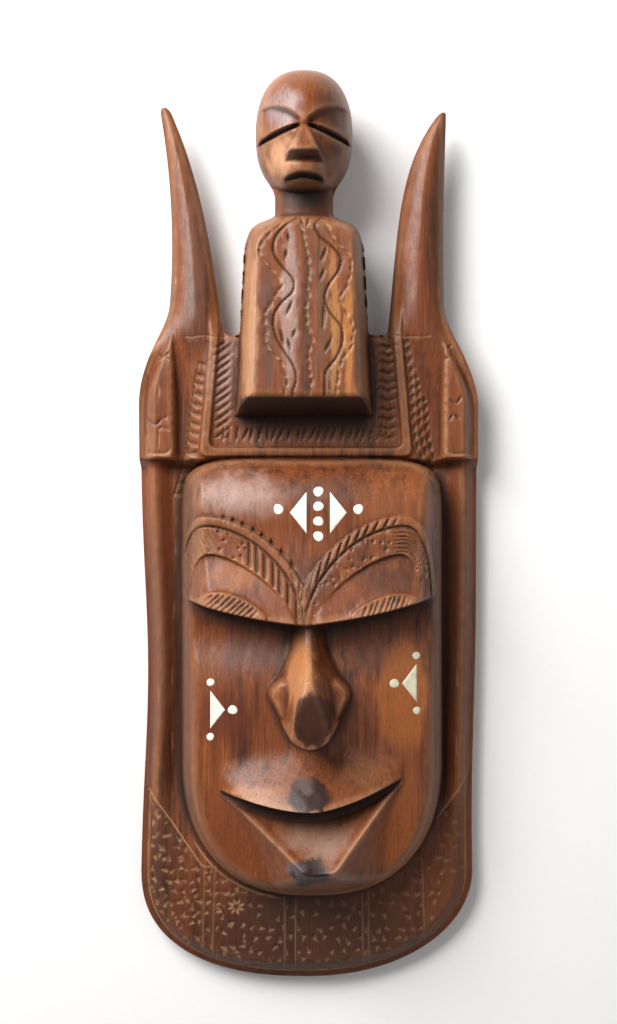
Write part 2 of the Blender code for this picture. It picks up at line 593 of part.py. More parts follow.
def sheet():
    """Points (x, y) and polygons that fill the silhouette, with border points on it."""
    half = max(HALF_LEFT, HALF_RIGHT) + 3.0 * CELL
    columns = int(2.0 * half / CELL) + 2
    rows = int((LENGTH + 6.0 * CELL) / CELL) + 2
    x, y = np.meshgrid(
        -half + CELL * np.arange(columns),
        END_Y - 3.0 * CELL + CELL * np.arange(rows),
    )
    x = x.ravel()
    y = y.ravel()
    inside = outline(x, y)
    near = np.abs(inside) < 0.35 * CELL
    for _ in range(3):
        across, along = slope_of(x[near], y[near])
        pull = outline(x[near], y[near]) / np.maximum(across**2 + along**2, 0.25)
        x[near] -= across * pull
        y[near] -= along * pull
    inside[near] = 0.0
    points = [x, y]
    crossings = {}
    extra = []

    def crossing(a, b):
        key = (min(a, b), max(a, b))
        if key not in crossings:
            low, high = (a, b) if inside[a] > 0.0 else (b, a)
            start, end = 0.0, 1.0
            for _ in range(12):
                half_way = (start + end) / 2.0
                px = x[low] + (x[high] - x[low]) * half_way
                py = y[low] + (y[high] - y[low]) * half_way
                if outline(px, py) > 0.0:
                    start = half_way
                else:
                    end = half_way
            crossings[key] = len(x) + len(extra)
            extra.append((px, py))
        return crossings[key]

    polygons = []
    base = (np.arange(rows - 1)[:, None] * columns + np.arange(columns - 1)).ravel()
    corners = np.stack([base, base + 1, base + columns + 1, base + columns], axis=1)
    signs = inside[corners]
    whole = (signs >= 0.0).all(axis=1) & (signs > 0.0).any(axis=1)
    polygons.extend(corners[whole].tolist())
    partial = (signs > 0.0).any(axis=1) & (signs < 0.0).any(axis=1)
    for cell in corners[partial].tolist():
        ring = []
        for index, a in enumerate(cell):
            b = cell[(index + 1) % 4]
            if inside[a] >= 0.0:
                ring.append(a)
            if inside[a] * inside[b] < 0.0:
                ring.append(crossing(a, b))
        if len(ring) > 2:
            polygons.append(ring)
    if extra:
        more = np.array(extra)
        points = [np.concatenate([x, more[:, 0]]), np.concatenate([y, more[:, 1]])]
    return points[0], points[1], polygons


def carved_mesh(name):
    """The closed mesh between the two sheets."""
    x, y, polygons = sheet()
    used = sorted({index for ring in polygons for index in ring})
    place = {old: new for new, old in enumerate(used)}
    x = x[used]
    y = y[used]
    polygons = [[place[index] for index in ring] for ring in polygons]
    count = len(used)
    edge = np.maximum(outline(x, y), 0.0)
    front = np.stack([x, y, front_sheet(x, y)], axis=1)
    back = np.stack([x, y, back_sheet(x, y, edge)], axis=1)
    directed = {(ring[i - 1], ring[i]) for ring in polygons for i in range(len(ring))}
    faces = [tuple(ring) for ring in polygons]
    faces += [tuple(index + count for index in reversed(ring)) for ring in polygons]
    for a, b in sorted(directed):
        if (b, a) not in directed:
            faces.append((b, a, a + count, b + count))
    mesh = bpy.data.meshes.new(name)
    mesh.from_pydata(np.concatenate([front, back]).tolist(), [], faces)
    mesh.validate()
    return mesh


def centred(mesh):
    """Moves the mesh so that its box stands centred on the origin, on Z 0, and returns the move."""
    points = np.empty(len(mesh.vertices) * 3, np.float32)
    mesh.vertices.foreach_get("co", points)
    points = points.reshape(-1, 3).astype(float)
    low = points.min(axis=0)
    high = points.max(axis=0)
    move = np.array([-(low[0] + high[0]) / 2.0, -(low[1] + high[1]) / 2.0, -low[2]])
    mesh.vertices.foreach_set("co", (points + move).astype(np.float32).ravel())
    mesh.update()
    return move


def material(name, colour, roughness, coat):
    """A Principled material."""
    made = bpy.data.materials.new(name)
    made.use_nodes = True
    shader = made.node_tree.nodes["Principled BSDF"]
    shader.inputs["Base Color"].default_value = (*colour, 1.0)
    shader.inputs["Roughness"].default_value = roughness
    shader.inputs["Coat Weight"].default_value = coat
    return made


def ringed(centre, corners, grow):
    """The outline of an inlay about its centre, grown outwards along each side's normal."""
    corners = np.array(corners, float)
    following = np.roll(corners, -1, axis=0)
    sides = following - corners
    normals = np.stack([sides[:, 1], -sides[:, 0]], axis=1)
    normals /= np.linalg.norm(normals, axis=1)[:, None]
    before = np.roll(normals, 1, axis=0)
    mitre = before + normals
    mitre /= (1.0 + (before * normals).sum(axis=1))[:, None]
    return corners + mitre * grow + np.array(centre)


def prism(name, ring, low, high, move, levels):
    """A prism whose top and bottom follow the carved surface, low and high above it."""
    middle = ring.mean(axis=0)
    layers = [ring]
    for level in range(1, levels):
        layers.append(mix(ring, middle, level / levels))
    plan = np.concatenate([*layers, middle[None, :]])
    height = front_sheet(plan[:, 0], plan[:, 1])
    count = len(plan)
    sides = len(ring)
    place = np.array([*middle, height[-1]])
    top = np.column_stack([plan, height + high]) - place
    bottom = np.column_stack([plan, height + low]) - place
    faces = []
    for level in range(levels):
        for i in range(sides):
            a = level * sides + i
            b = level * sides + (i + 1) % sides
            if level + 1 < levels:
                faces.append((a, b, b + sides, a + sides))
            else:
                faces.append((a, b, count - 1))
    faces += [tuple(index + count for index in reversed(face)) for face in faces]
    for i in range(sides):
        j = (i + 1) % sides
        faces.append((j, i, i + count, j + count))
    mesh = bpy.data.meshes.new(name)
    mesh.from_pydata(np.concatenate([top, bottom]).tolist(), [], faces)
    made = bpy.data.objects.new(name, mesh)
    made.location = place + move
    return made


def dot(diameter):
    """A round inlay's outline."""
    turn = np.arange(DOT_SIDES) / DOT_SIDES * 2.0 * np.pi
    return [(np.cos(a) * diameter / 2.0, np.sin(a) * diameter / 2.0) for a in turn]


def triangle(half, wide, way):
    """A triangle with an upright side at the origin, its tip off to way, and two points along each side."""
    corners = [(0.0, -half), (wide * way, 0.0), (0.0, half)]
    if way < 0.0:
        corners.reverse()
    ring = []
    for start, end in zip(corners, corners[1:] + corners[:1]):
        for share in (0.0, 1.0 / 3.0, 2.0 / 3.0):
            ring.append(tuple(mix(np.array(start), np.array(end), share)))
    return ring


def inlays():
    """Every inlay as (name, centre, outline)."""
    found = []
    row = FOREHEAD_DOT_X
    for number in range(4):
        place = (row, FOREHEAD_DOT_TOP_Y - FOREHEAD_DOT_STEP * number)
        found.append((f"inlay_forehead_dot_{number + 1}", place, dot(FOREHEAD_DOT)))
    for name, way in (("left", -1.0), ("right", 1.0)):
        away = FOREHEAD_TRIANGLE_AWAY
        place = (row + way * away, FOREHEAD_TRIANGLE_Y)
        shape = triangle(FOREHEAD_TRIANGLE_HALF, FOREHEAD_TRIANGLE_WIDE, way)
        found.append((f"inlay_forehead_triangle_{name}", place, shape))
        place = (row + way * FOREHEAD_SIDE_DOT_AWAY, FOREHEAD_TRIANGLE_Y + FOREHEAD_SIDE_DOT_LIFT)
        found.append((f"inlay_forehead_dot_{name}", place, dot(FOREHEAD_DOT)))
    cheeks_at = (
        ("left", LEFT_CHEEK_X, LEFT_CHEEK_Y, 1.0),
        ("right", RIGHT_CHEEK_X, RIGHT_CHEEK_Y, -1.0),
    )
    for name, x, y, way in cheeks_at:
        shape = triangle(CHEEK_TRIANGLE_HALF, CHEEK_TRIANGLE_WIDE, way)
        found.append((f"inlay_cheek_triangle_{name}", (x, y), shape))
        place = (x, y + CHEEK_DOT_AWAY)
        found.append((f"inlay_cheek_dot_{name}_upper", place, dot(CHEEK_DOT)))
        place = (x, y - CHEEK_DOT_AWAY)
        found.append((f"inlay_cheek_dot_{name}_lower", place, dot(CHEEK_DOT)))
        place = (x + way * CHEEK_TIP_DOT_AWAY, y)
        found.append((f"inlay_cheek_dot_{name}_tip", place, dot(CHEEK_TIP_DOT)))
    return found


def main():
    """Builds the mask, then lets the inlays in."""
    for old in list(bpy.data.objects):
        bpy.data.objects.remove(old)
    wood = material("varnished_wood", (0.20, 0.085, 0.04), 0.38, 0.25)
    bone = material("bone", (0.80, 0.77, 0.68), 0.45, 0.0)
    scene = bpy.context.scene.collection
    full = bpy.data.objects.new("full", carved_mesh("full"))
    scene.objects.link(full)
    thinner = full.modifiers.new("fewer faces", "DECIMATE")
    faces = sum(len(face.vertices) - 2 for face in full.data.polygons)
    thinner.ratio = KEPT_FACES / faces
    bpy.context.view_layer.update()
    graph = bpy.context.evaluated_depsgraph_get()
    solid = bpy.data.meshes.new_from_object(full.evaluated_get(graph))
    bpy.data.objects.remove(full)
    move = centred(solid)
    mask = bpy.data.objects.new("mask", solid)
    mask.data.materials.clear()
    mask.data.materials.append(wood)
    scene.objects.link(mask)
    cutters = bpy.data.collections.new("pockets")
    scene.children.link(cutters)
    for name, centre, shape in inlays():
        piece = prism(name, ringed(centre, shape, 0.0), -INLAY_DEEP, INLAY_PROUD, move, 2)
        piece.data.materials.append(bone)
        scene.objects.link(piece)
        ring = ringed(centre, shape, INLAY_GAP)
        cutter = prism(f"pocket_{name}", ring, -INLAY_DEEP - INLAY_GAP, INLAY_DEEP * 2.0, move, 1)
        cutter.hide_render = True
        cutter.display_type = "WIRE"
        cutters.objects.link(cutter)
    cut = mask.modifiers.new("pockets", "BOOLEAN")
    cut.operation = "DIFFERENCE"
    cut.operand_type = "COLLECTION"
    cut.collection = cutters
    cut.solver = "EXACT"


if __name__ == "__main__":
    main()
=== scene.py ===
"""Looks of a carved wooden wall mask with pale inlays, lying on its back under a camera that looks down.

Lengths are in metres. The carving is worked out in the carver's frame: X across the mask, Y along it
from the chin end to the small figure's head, Z up from the flat rim of the back. The finished pieces are
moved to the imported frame, whose origin is under the middle of the mask.
"""

import logging
import math
from dataclasses import dataclass, field
from enum import Enum

import bpy
import numpy as np
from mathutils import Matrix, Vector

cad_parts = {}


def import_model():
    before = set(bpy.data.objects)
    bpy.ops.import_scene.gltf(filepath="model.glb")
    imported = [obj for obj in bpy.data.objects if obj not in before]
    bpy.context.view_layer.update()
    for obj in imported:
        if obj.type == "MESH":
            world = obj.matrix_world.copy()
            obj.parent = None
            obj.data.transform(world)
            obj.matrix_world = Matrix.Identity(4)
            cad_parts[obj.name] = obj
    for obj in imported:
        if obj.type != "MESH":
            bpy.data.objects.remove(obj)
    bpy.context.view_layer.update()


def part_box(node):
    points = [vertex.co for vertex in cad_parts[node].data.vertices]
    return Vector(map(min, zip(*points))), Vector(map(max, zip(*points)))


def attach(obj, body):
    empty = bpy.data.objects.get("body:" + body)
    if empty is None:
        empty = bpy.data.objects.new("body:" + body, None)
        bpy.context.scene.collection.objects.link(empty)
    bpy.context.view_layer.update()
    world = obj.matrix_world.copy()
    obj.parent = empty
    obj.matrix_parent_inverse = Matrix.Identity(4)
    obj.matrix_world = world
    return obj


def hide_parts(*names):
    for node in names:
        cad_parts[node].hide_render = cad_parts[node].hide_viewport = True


log = logging.getLogger("mask")

MM = 0.001
# The photograph's axis and middle row in pixels, a pixel's size on the floor, the camera's distance and how
# far the mask's middle lies below the photograph's, in millimetres
PHOTO_AXIS_X = 308.7
PHOTO_MIDDLE_Y = 512.0
PHOTO_PIXEL = 0.5640
PHOTO_AWAY = 800.0
PHOTO_SHIFT = 8.3
# Rows of the photograph at the body's top and over its length, and heights of the wood in millimetres
BODY_TOP_ROW = 225.0
BODY_ROWS = 180.0
BODY_TOP_HIGH = 54.0
BODY_RISE = 7.0
BAND_HIGH = 21.0
HORN_MARK_HIGH = 25.0
TINY = 1.0e-9
Field = np.ndarray
Pair = tuple[float, float]
Colour = tuple[float, float, float]


class Side(Enum):
    """The two sides of the mask, as the face is looked at."""

    LEFT = -1.0
    RIGHT = 1.0


# Curves that the whole carving is made of


def ease(low: Field | float, high: Field | float, value: Field) -> Field:
    """Smooth step.

    Args:
        low: Where the rise starts.
        high: Where it ends, which may be below low for a fall.
        value: The measured value.

    Returns:
        0 before low, 1 beyond high, with a smooth rise between.
    """
    share = np.clip((value - low) / (high - low), 0.0, 1.0)
    return share * share * (3.0 - 2.0 * share)


def soft_min(first: Field | float, second: Field | float, blend: float) -> Field:
    """The lower of two heights.

    Args:
        first: One height.
        second: The other height.
        blend: How wide the rounding is where they cross.

    Returns:
        The lower height, rounded over at the crossing.
    """
    share = np.clip(0.5 + 0.5 * (second - first) / blend, 0.0, 1.0)
    return second + (first - second) * share - blend * share * (1.0 - share)


def soft_max(first: Field | float, second: Field | float, blend: float) -> Field:
    """The higher of two heights.

    Args:
        first: One height.
        second: The other height.
        blend: How wide the fillet is where they cross.

    Returns:
        The higher height, filleted at the crossing.
    """
    return -soft_min(-np.asarray(first), -np.asarray(second), blend)


def mix(first: Field | float, second: Field | float, share: Field | float) -> Field:
    """Blend of two values.

    Args:
        first: The value at share 0.
        second: The value at share 1.
        share: The blend.

    Returns:
        The blended value.
    """
    return first + (second - first) * share


def bump(value: Field, middle: Field | float, reach: float) -> Field:
    """Bell curve.

    Args:
        value: The measured value.
        middle: Where the bell is 1.
        reach: How far it takes to fade.

    Returns:
        The bell's height.
    """
    return np.exp(-(((value - middle) / reach) ** 2))


def on_mask(pixel: Pair, high: float) -> Pair:
    """Place on the mask of a pixel that was read from the photograph.

    Args:
        pixel: The pixel, across and down the photograph.
        high: How high the wood stands there, in millimetres.

    Returns:
        The place across and along the mask, to a tenth of a millimetre.
    """
    size = PHOTO_PIXEL * (1 - high / PHOTO_AWAY)
    x = round((pixel[0] - PHOTO_AXIS_X) * size, 1)
    return x, round((PHOTO_MIDDLE_Y - pixel[1]) * size + PHOTO_SHIFT, 1)


def on_body(pixel: Pair) -> Pair:
    """Place on the figure's body, which rises towards its foot, of a pixel of the photograph."""
    return on_mask(pixel, BODY_TOP_HIGH + BODY_RISE * (pixel[1] - BODY_TOP_ROW) / BODY_ROWS)


def flow(value: Field, stations: tuple[float, ...], sizes: tuple[float, ...]) -> Field:
    """Smooth curve through stations.

    Args:
        value: Where the curve is read.
        stations: Rising stations.
        sizes: The curve's value at each station.

    Returns:
        The curve's value.
    """
    at = np.asarray(stations, float)
    to = np.asarray(sizes, float)
    slopes = np.gradient(to, at)
    index = np.clip(np.searchsorted(at, value) - 1, 0, len(at) - 2)
    span = at[index + 1] - at[index]
    t = np.clip((value - at[index]) / span, 0.0, 1.0)
    near = (1.0 + 2.0 * t) * (1.0 - t) ** 2 * to[index] + t * (1.0 - t) ** 2 * span * slopes[index]
    far = t * t * (3.0 - 2.0 * t) * to[index + 1] + t * t * (t - 1.0) * span * slopes[index + 1]
    return near + far


def oval(across: Field, along: Field, half: Field | float, length: float, power: Field | float) -> Field:
    """Distance in from a rounded end.

    Args:
        across: Distance from the end's axis.
        along: Distance from the end's centre, towards the end.
        half: Half the end's width.
        length: How far the end reaches.
        power: 2 for an ellipse, higher for squarer corners.

    Returns:
        The distance, measured along the ray from the centre and negative outside.
    """
    across = np.abs(across) + TINY
    along = np.maximum(along, 0.0)
    ray = np.hypot(across, along)
    rho = ((across / half) ** power + (along / length) ** power) ** (1.0 / power)
    return ray * (1.0 / rho - 1.0)


def sided(x: Field, sizes: Pair) -> Field:
    """The left size where x is left of the axis, the right size elsewhere."""
    return np.where(x < 0.0, sizes[0], sizes[1])


def chance(cell: Field, seed: float) -> Field:
    """A number from 0 to 1 that looks random but is the same for the same cell and seed."""
    wave = np.sin(cell * 12.9898 + seed * 78.233) * 43758.5453
    return wave - np.floor(wave)


# Tool marks


def line(distance: Field, wide: float, deep: float) -> Field:
    """A cut with two sloping walls along distance 0, deep at its middle."""
    return deep * np.clip(1.0 - np.abs(distance) / (wide / 2.0), 0.0, 1.0)


def leaf(along: Field, across: Field, size: tuple[float, float, float]) -> Field:
    """A leaf-shaped nick about the origin.

    Args:
        along: Distance along the nick.
        across: Distance across it.
        size: Its length, width and depth.

    Returns:
        The depth of the cut.
    """
    long, wide, deep = size
    return deep * np.clip(1.0 - (2.0 * along / long) ** 2 - np.abs(2.0 * across / wide), 0.0, 1.0)


def tooth(along: Field, across: Field, size: tuple[float, float, float]) -> Field:
    """A three-cornered nick with an upright wall at its broad end.

    Args:
        along: Distance along the nick, from its middle towards its tip.
        across: Distance across it.
        size: Its length, width and depth.

    Returns:
        The depth of the cut.
    """
    long, wide, deep = size
    share = along / long + 0.5
    room = (1.0 - share - np.abs(2.0 * across / wide)) * ease(0.0, 0.10, share)
    return deep * np.clip(room * 1.3, 0.0, 1.0)


def stroke(x: Field, y: Field, ends: tuple[Pair, Pair], wide: float, deep: float) -> Field:
    """A single leaf-shaped stroke.

    Args:
        x: Points across the mask.
        y: Points along the mask.
        ends: The stroke's two ends, in millimetres.
        wide: Its width.
        deep: Its depth.

    Returns:
        The depth of the cut.
    """
    (ax, ay), (bx, by) = ends
    middle_x = (ax + bx) / 2.0 * MM
    middle_y = (ay + by) / 2.0 * MM
    long = math.hypot(bx - ax, by - ay) * MM
    turn_x = (bx - ax) * MM / long
    turn_y = (by - ay) * MM / long
    along = (x - middle_x) * turn_x + (y - middle_y) * turn_y
    across = (y - middle_y) * turn_x - (x - middle_x) * turn_y
    return leaf(along, across, (long * 1.15, wide, deep))


def repeat(value: Field, pitch: float, seed: float, loose: float = 0.12) -> tuple[Field, Field]:
    """Cuts a length into hand-spaced steps.

    Args:
        value: Distance along the row.
        pitch: The step.
        seed: Which row this is.
        loose: How far a step's middle may wander, as a share of the pitch.

    Returns:
        The distance from the step's middle, and the step's number.
    """
    cell = np.floor(value / pitch)
    shift = (chance(cell, seed) - 0.5) * 2.0 * loose
    return value - (cell + 0.5 + shift) * pitch, cell


# Sub-assemblies of the block


@dataclass
class Plank:
    """The long board behind the face, with its rounded chin end."""

    end_y: float = -0.250
    end_turn: float = 0.060
    end_power: Pair = (2.4, 2.05)
    top_y: float = 0.105
    half_width: Pair = (0.0934, 0.0935)
    waist: Pair = (0.0042, 0.0026)
    waist_y: Pair = (-0.080, -0.160)
    waist_reach: float = 0.074
    edge_z: float = 0.0105
    ridge_z: float = 0.0175
    ridge_in: float = 0.0080
    valley_z: float = 0.0125
    valley_in: float = 0.0180
    field_z: float = 0.0175
    field_in: float = 0.0120
    field_top_y: float = -0.160
    field_fade: float = 0.030
    back_edge: float = 0.0015

    def half(self, x: Field, y: Field) -> Field:
        """Half the board's width on this side of the axis."""
        waist = sided(x, self.waist) * bump(y, sided(x, self.waist_y), self.waist_reach)
        return sided(x, self.half_width) - waist

    def front(self, y: Field, edge: Field) -> Field:
        """The board's front: a ridge along each side, a dished field round the chin.

        Args:
            y: Places along the mask.
            edge: Distance in from the silhouette.

        Returns:
            Heights.
        """
        ridge = mix(self.edge_z, self.ridge_z, ease(0.0, self.ridge_in, edge))
        ridge = ridge - (self.ridge_z - self.valley_z) * ease(self.ridge_in, self.valley_in, edge)
        dish = mix(self.edge_z, self.field_z, ease(0.0, self.field_in, edge))
        lower = ease(self.field_top_y + self.field_fade, self.field_top_y - self.field_fade, y)
        return mix(ridge, dish, lower)


@dataclass
class Horns:
    """The pair of horns that rise from the board's shoulders."""

    shoulder_y: float = 0.066
    shoulder_rise: float = 0.058
    tip_y: Pair = (0.2315, 0.2300)
    outside: Pair = (0.0752, 0.0746)
    bow: Pair = (0.0050, 0.0012)
    bow_y: float = 0.155
    bow_reach: float = 0.065
    inside: Pair = (0.0465, 0.0438)
    lean: Pair = (0.0175, 0.0110)
    curl: Pair = (0.0130, 0.0190)
    curl_power: Pair = (3.0, 5.0)
    mid_z: float = 0.0165
    thick: float = 0.37
    ridge: float = 0.47
    tip_round: float = 0.0040
    crotch: float = 0.0050

    def outer(self, x: Field, y: Field) -> Field:
        """Distance of the horn's outer side from the axis."""
        return sided(x, self.outside) + sided(x, self.bow) * ((y - self.bow_y) / self.bow_reach) ** 2

    def inner(self, x: Field, y: Field, root_y: float) -> Field:
        """Distance of the horn's inner side from the axis, for horns that spring at root_y."""
        share = np.clip((y - root_y) / (sided(x, self.tip_y) - root_y), 0.0, 1.1)
        curl = sided(x, self.curl) * share ** sided(x, self.curl_power)
        return sided(x, self.inside) + sided(x, self.lean) * share + curl


@dataclass
class Figure:
    """The small standing figure between the horns: head, neck and a block of a body."""

    x: float = -0.0023
    head_top_y: float = 0.2470
    head_up: float = 0.0345
    head_down: float = 0.0335
    head_half: float = 0.0263
    head_mid_z: float = 0.0290
    head_front: float = 0.0300
    head_back: float = 0.0240
    head_power: float = 2.4
    neck_half: float = 0.0158
    neck_front_z: float = 0.0400
    neck_back_z: float = 0.0150
    top_y: float = 0.1680
    shoulder_drop: float = 0.0085
    foot_y: float = 0.0605
    half_top: float = 0.0318
    half_foot: float = 0.0376
    face_top: float = 0.0255
    face_foot: float = 0.0320
    top_z: float = 0.0540
    foot_z: float = 0.0610
    back_z: float = 0.0080
    draft: float = 0.0065
    shoulder_round: float = 0.0100
    base_z: float = 0.0245

    def down(self, y: Field) -> Field:
        """Share of the way from the shoulders to the foot."""
        return np.clip((self.top_y - y) / (self.top_y - self.foot_y), 0.0, 1.0)

    def head_in(self, x: Field, y: Field) -> Field:
        """Distance in from the head's silhouette."""
        middle = self.head_top_y - self.head_up
        upper = oval(x - self.x, y - middle, self.head_half, self.head_up, self.head_power)
        lower = oval(x - self.x, middle - y, self.head_half, self.head_down, self.head_power)
        return np.where(y > middle, upper, lower)

    def body_in(self, x: Field, y: Field) -> Field:
        """Distance in from the figure's shoulders and flanks."""
        flank = mix(self.half_top, self.half_foot, self.down(y)) - np.abs(x - self.x)
        top = self.top_y - self.shoulder_drop * ((x - self.x) / self.half_top) ** 2
        return soft_min(np.minimum(flank, y - self.foot_y), top - y, self.shoulder_round)

    def neck_share(self, x: Field, y: Field) -> Field:
        """0 beside and above the neck, 1 on its axis."""
        below_head = y < self.head_top_y - self.head_up
        return np.clip(1.0 - np.abs(x - self.x) / self.neck_half, 0.0, 1.0) * below_head

    def body_front(self, x: Field, y: Field) -> Field:
        """The body: a trapezoid block with chamfered flanks and an undercut foot."""
        share = self.down(y)
        front = mix(self.top_z, self.foot_z, share)
        half = mix(self.half_top, self.half_foot, share)
        face = mix(self.face_top, self.face_foot, share)
        steep = (front - self.base_z) / np.maximum(half - face, TINY)
        flank = self.base_z + steep * (half - np.abs(x - self.x))
        crown = self.neck_front_z + 2.6 * self.body_in(x, y)
        body = soft_min(soft_min(front, flank, 0.006), crown, 0.008)
        foot = (y - self.foot_y) * (front - self.base_z) / self.draft + self.base_z
        return soft_min(body, foot, 0.0012)

    def dark(self, x: Field, y: Field) -> Field:
        """Painted shade in the head's eye slits, under its nose and in its mouth, and at half strength at the
        foot of its chin.
        """
        away = np.abs(x - self.x) / self.head_half
        v = (y - self.head_top_y + self.head_up) / self.head_up
        slit = ease(0.066, 0.030, np.abs(v + 0.02 + 0.22 * away))
        slit = slit * ease(0.05, 0.14, away) * ease(0.95, 0.86, away)
        under = ease(-0.43, -0.49, v) * ease(-0.62, -0.58, v) * ease(0.40, 0.34, away)
        lips = ease(0.060, 0.025, np.abs(v + 0.81 + 0.06 * away)) * ease(0.44, 0.36, away)
        chin = ease(-0.90, -1.0, v) * 0.5
        found = np.maximum(np.maximum(slit, under * 0.8), np.maximum(lips, chin))
        return found * (self.head_in(x, y) > 0.0)

    def head_shape(self, x: Field, y: Field) -> Field:
        """The head: a ball with a brow wedge, heavy lids over eye slits, a wedge nose and a muzzle."""
        u = (x - self.x) / self.head_half
        v = (y - self.head_top_y + self.head_up) / self.head_up
        away = np.abs(u)
        share = np.clip(self.head_in(x, y) / self.head_half, 0.0, 1.0)
        blunt = 2.0 + 5.0 * bump(u, 0.0, 0.45) * ease(-0.35, -0.75, v)
        ball = self.head_mid_z + self.head_front * np.sqrt(np.clip(1.0 - (1.0 - share) ** blunt, 0.0, 1.0))
        slit_v = -0.02 - 0.22 * away
        brow_v = -0.02 + 0.75 * away - 0.45 * away**2
        sides = ease(0.95, 0.78, away)
        under = ease(brow_v + 0.03, brow_v - 0.03, v) * sides * ease(0.03, 0.12, away)
        depth = np.clip((v - slit_v) / np.maximum(brow_v - slit_v, 0.05), 0.0, 1.0)
        lid = under * ease(slit_v - 0.02, slit_v + 0.02, v) * (0.3 + 0.7 * depth)
        thin = 0.062 * np.sqrt(np.clip(1.0 - ((away - 0.48) / 0.46) ** 2, 0.02, 1.0))
        slit = np.clip(1.0 - np.abs(v - slit_v) / thin, 0.0, 1.0)
        slit = slit * ease(0.03, 0.12, away) * ease(0.97, 0.88, away)
        below = np.clip(-0.05 - v, 0.0, 1.0)
        half = 0.06 + 0.62 * below
        wedge = np.clip(below / 0.41, 0.0, 1.0) ** 0.8 * ease(half + 0.05, half - 0.05, away)
        wedge = wedge * ease(0.555, 0.43, below)
        hollow = ease(0.02, 0.18, below) * ease(0.12, 0.38, away)
        hollow = hollow * ease(1.05, 0.6, below) * ease(0.95, 0.6, away)
        muzzle = ease(0.50, 0.30, away + 0.1 * (v + 0.7)) * ease(-0.54, -0.66, v)
        lips_v = -0.81 - 0.06 * away
        lips = np.clip(1.0 - np.abs(v - lips_v) / (0.052 * (1.0 - (away / 0.42) ** 2).clip(0.02)), 0.0, 1.0)
        lips = lips * ease(0.44, 0.36, away)
        crest = 0.0022 * ease(-0.08, 0.02, v) * ease(0.95, 0.4, v) * (1.0 - 1.7 * away) * (1.0 - under)
        ball = ball + crest - 0.0036 * lid - 0.0052 * slit - 0.0018 * hollow
        return ball + 0.0092 * wedge + 0.0030 * muzzle - 0.0046 * lips


@dataclass
class Headband:
    """The band above the forehead with its U-shaped ribbon, and the lobes under the horns."""

    field_z: float = 0.0245
    raise_z: float = 0.0028
    ribbon_wide: float = 0.0050
    half_top: float = 0.0500
    half_foot: float = 0.0555
    foot_y: float = 0.0410
    top_y: float = 0.105
    lobe_in: float = 0.0705
    lobe_foot_y: float = 0.0360
    lobe_z: float = 0.0270
    lobe_valley_z: float = 0.0185
    lobe_round: float = 0.0050

    def ribbon_x(self, y: Field) -> Field:
        """Distance of the ribbon's middle from the axis."""
        down = np.clip((self.top_y - y) / (self.top_y - self.foot_y), 0.0, 1.0)
        return mix(self.half_top, self.half_foot, down)

    def across(self, x: Field, y: Field) -> Field:
        """Distance out from the ribbon's middle."""
        return np.abs(x + self.raise_z * 0.5) - self.ribbon_x(y)

    def front(self, x: Field, y: Field) -> Field:
        """The band's field with its ribbon, falling away to the lobes."""
        across = self.across(x, y)
        away = np.abs(soft_max(across, self.foot_y - y, self.ribbon_wide))
        wide = self.ribbon_wide * 0.5
        raised = self.raise_z * ease(wide * 1.3, wide * 0.7, away)
        valley = mix(self.lobe_valley_z, self.field_z, ease(self.foot_y + 0.020, self.top_y, y))
        fall = ease(wide, self.lobe_in - self.ribbon_x(y), across)
        return mix(self.field_z, valley, fall) + raised

    def lobe_inset(self, x: Field, y: Field) -> Field:
        """Distance in from the lobe's inner and lower sides."""
        return soft_min(np.abs(x) - self.lobe_in, y - self.lobe_foot_y, self.lobe_round)

    def lobe(self, x: Field, y: Field, edge: Field, plank: Plank) -> Field:
        """The smooth lobe that hangs below each horn."""
        side = ease(-0.0040, self.lobe_round, np.abs(x) - self.lobe_in)
        rise = np.minimum(ease(-0.0008, self.lobe_round * 0.6, self.lobe_inset(x, y) + 0.004), side)
        rise = np.minimum(rise, ease(-0.0008, 0.0022, y - self.lobe_foot_y))
        low = plank.edge_z + 0.4 * (self.lobe_z - plank.edge_z)
        crown = mix(low, self.lobe_z, ease(0.0, plank.ridge_in * 1.2, edge))
        return mix(plank.valley_z * 0.5, crown, rise)


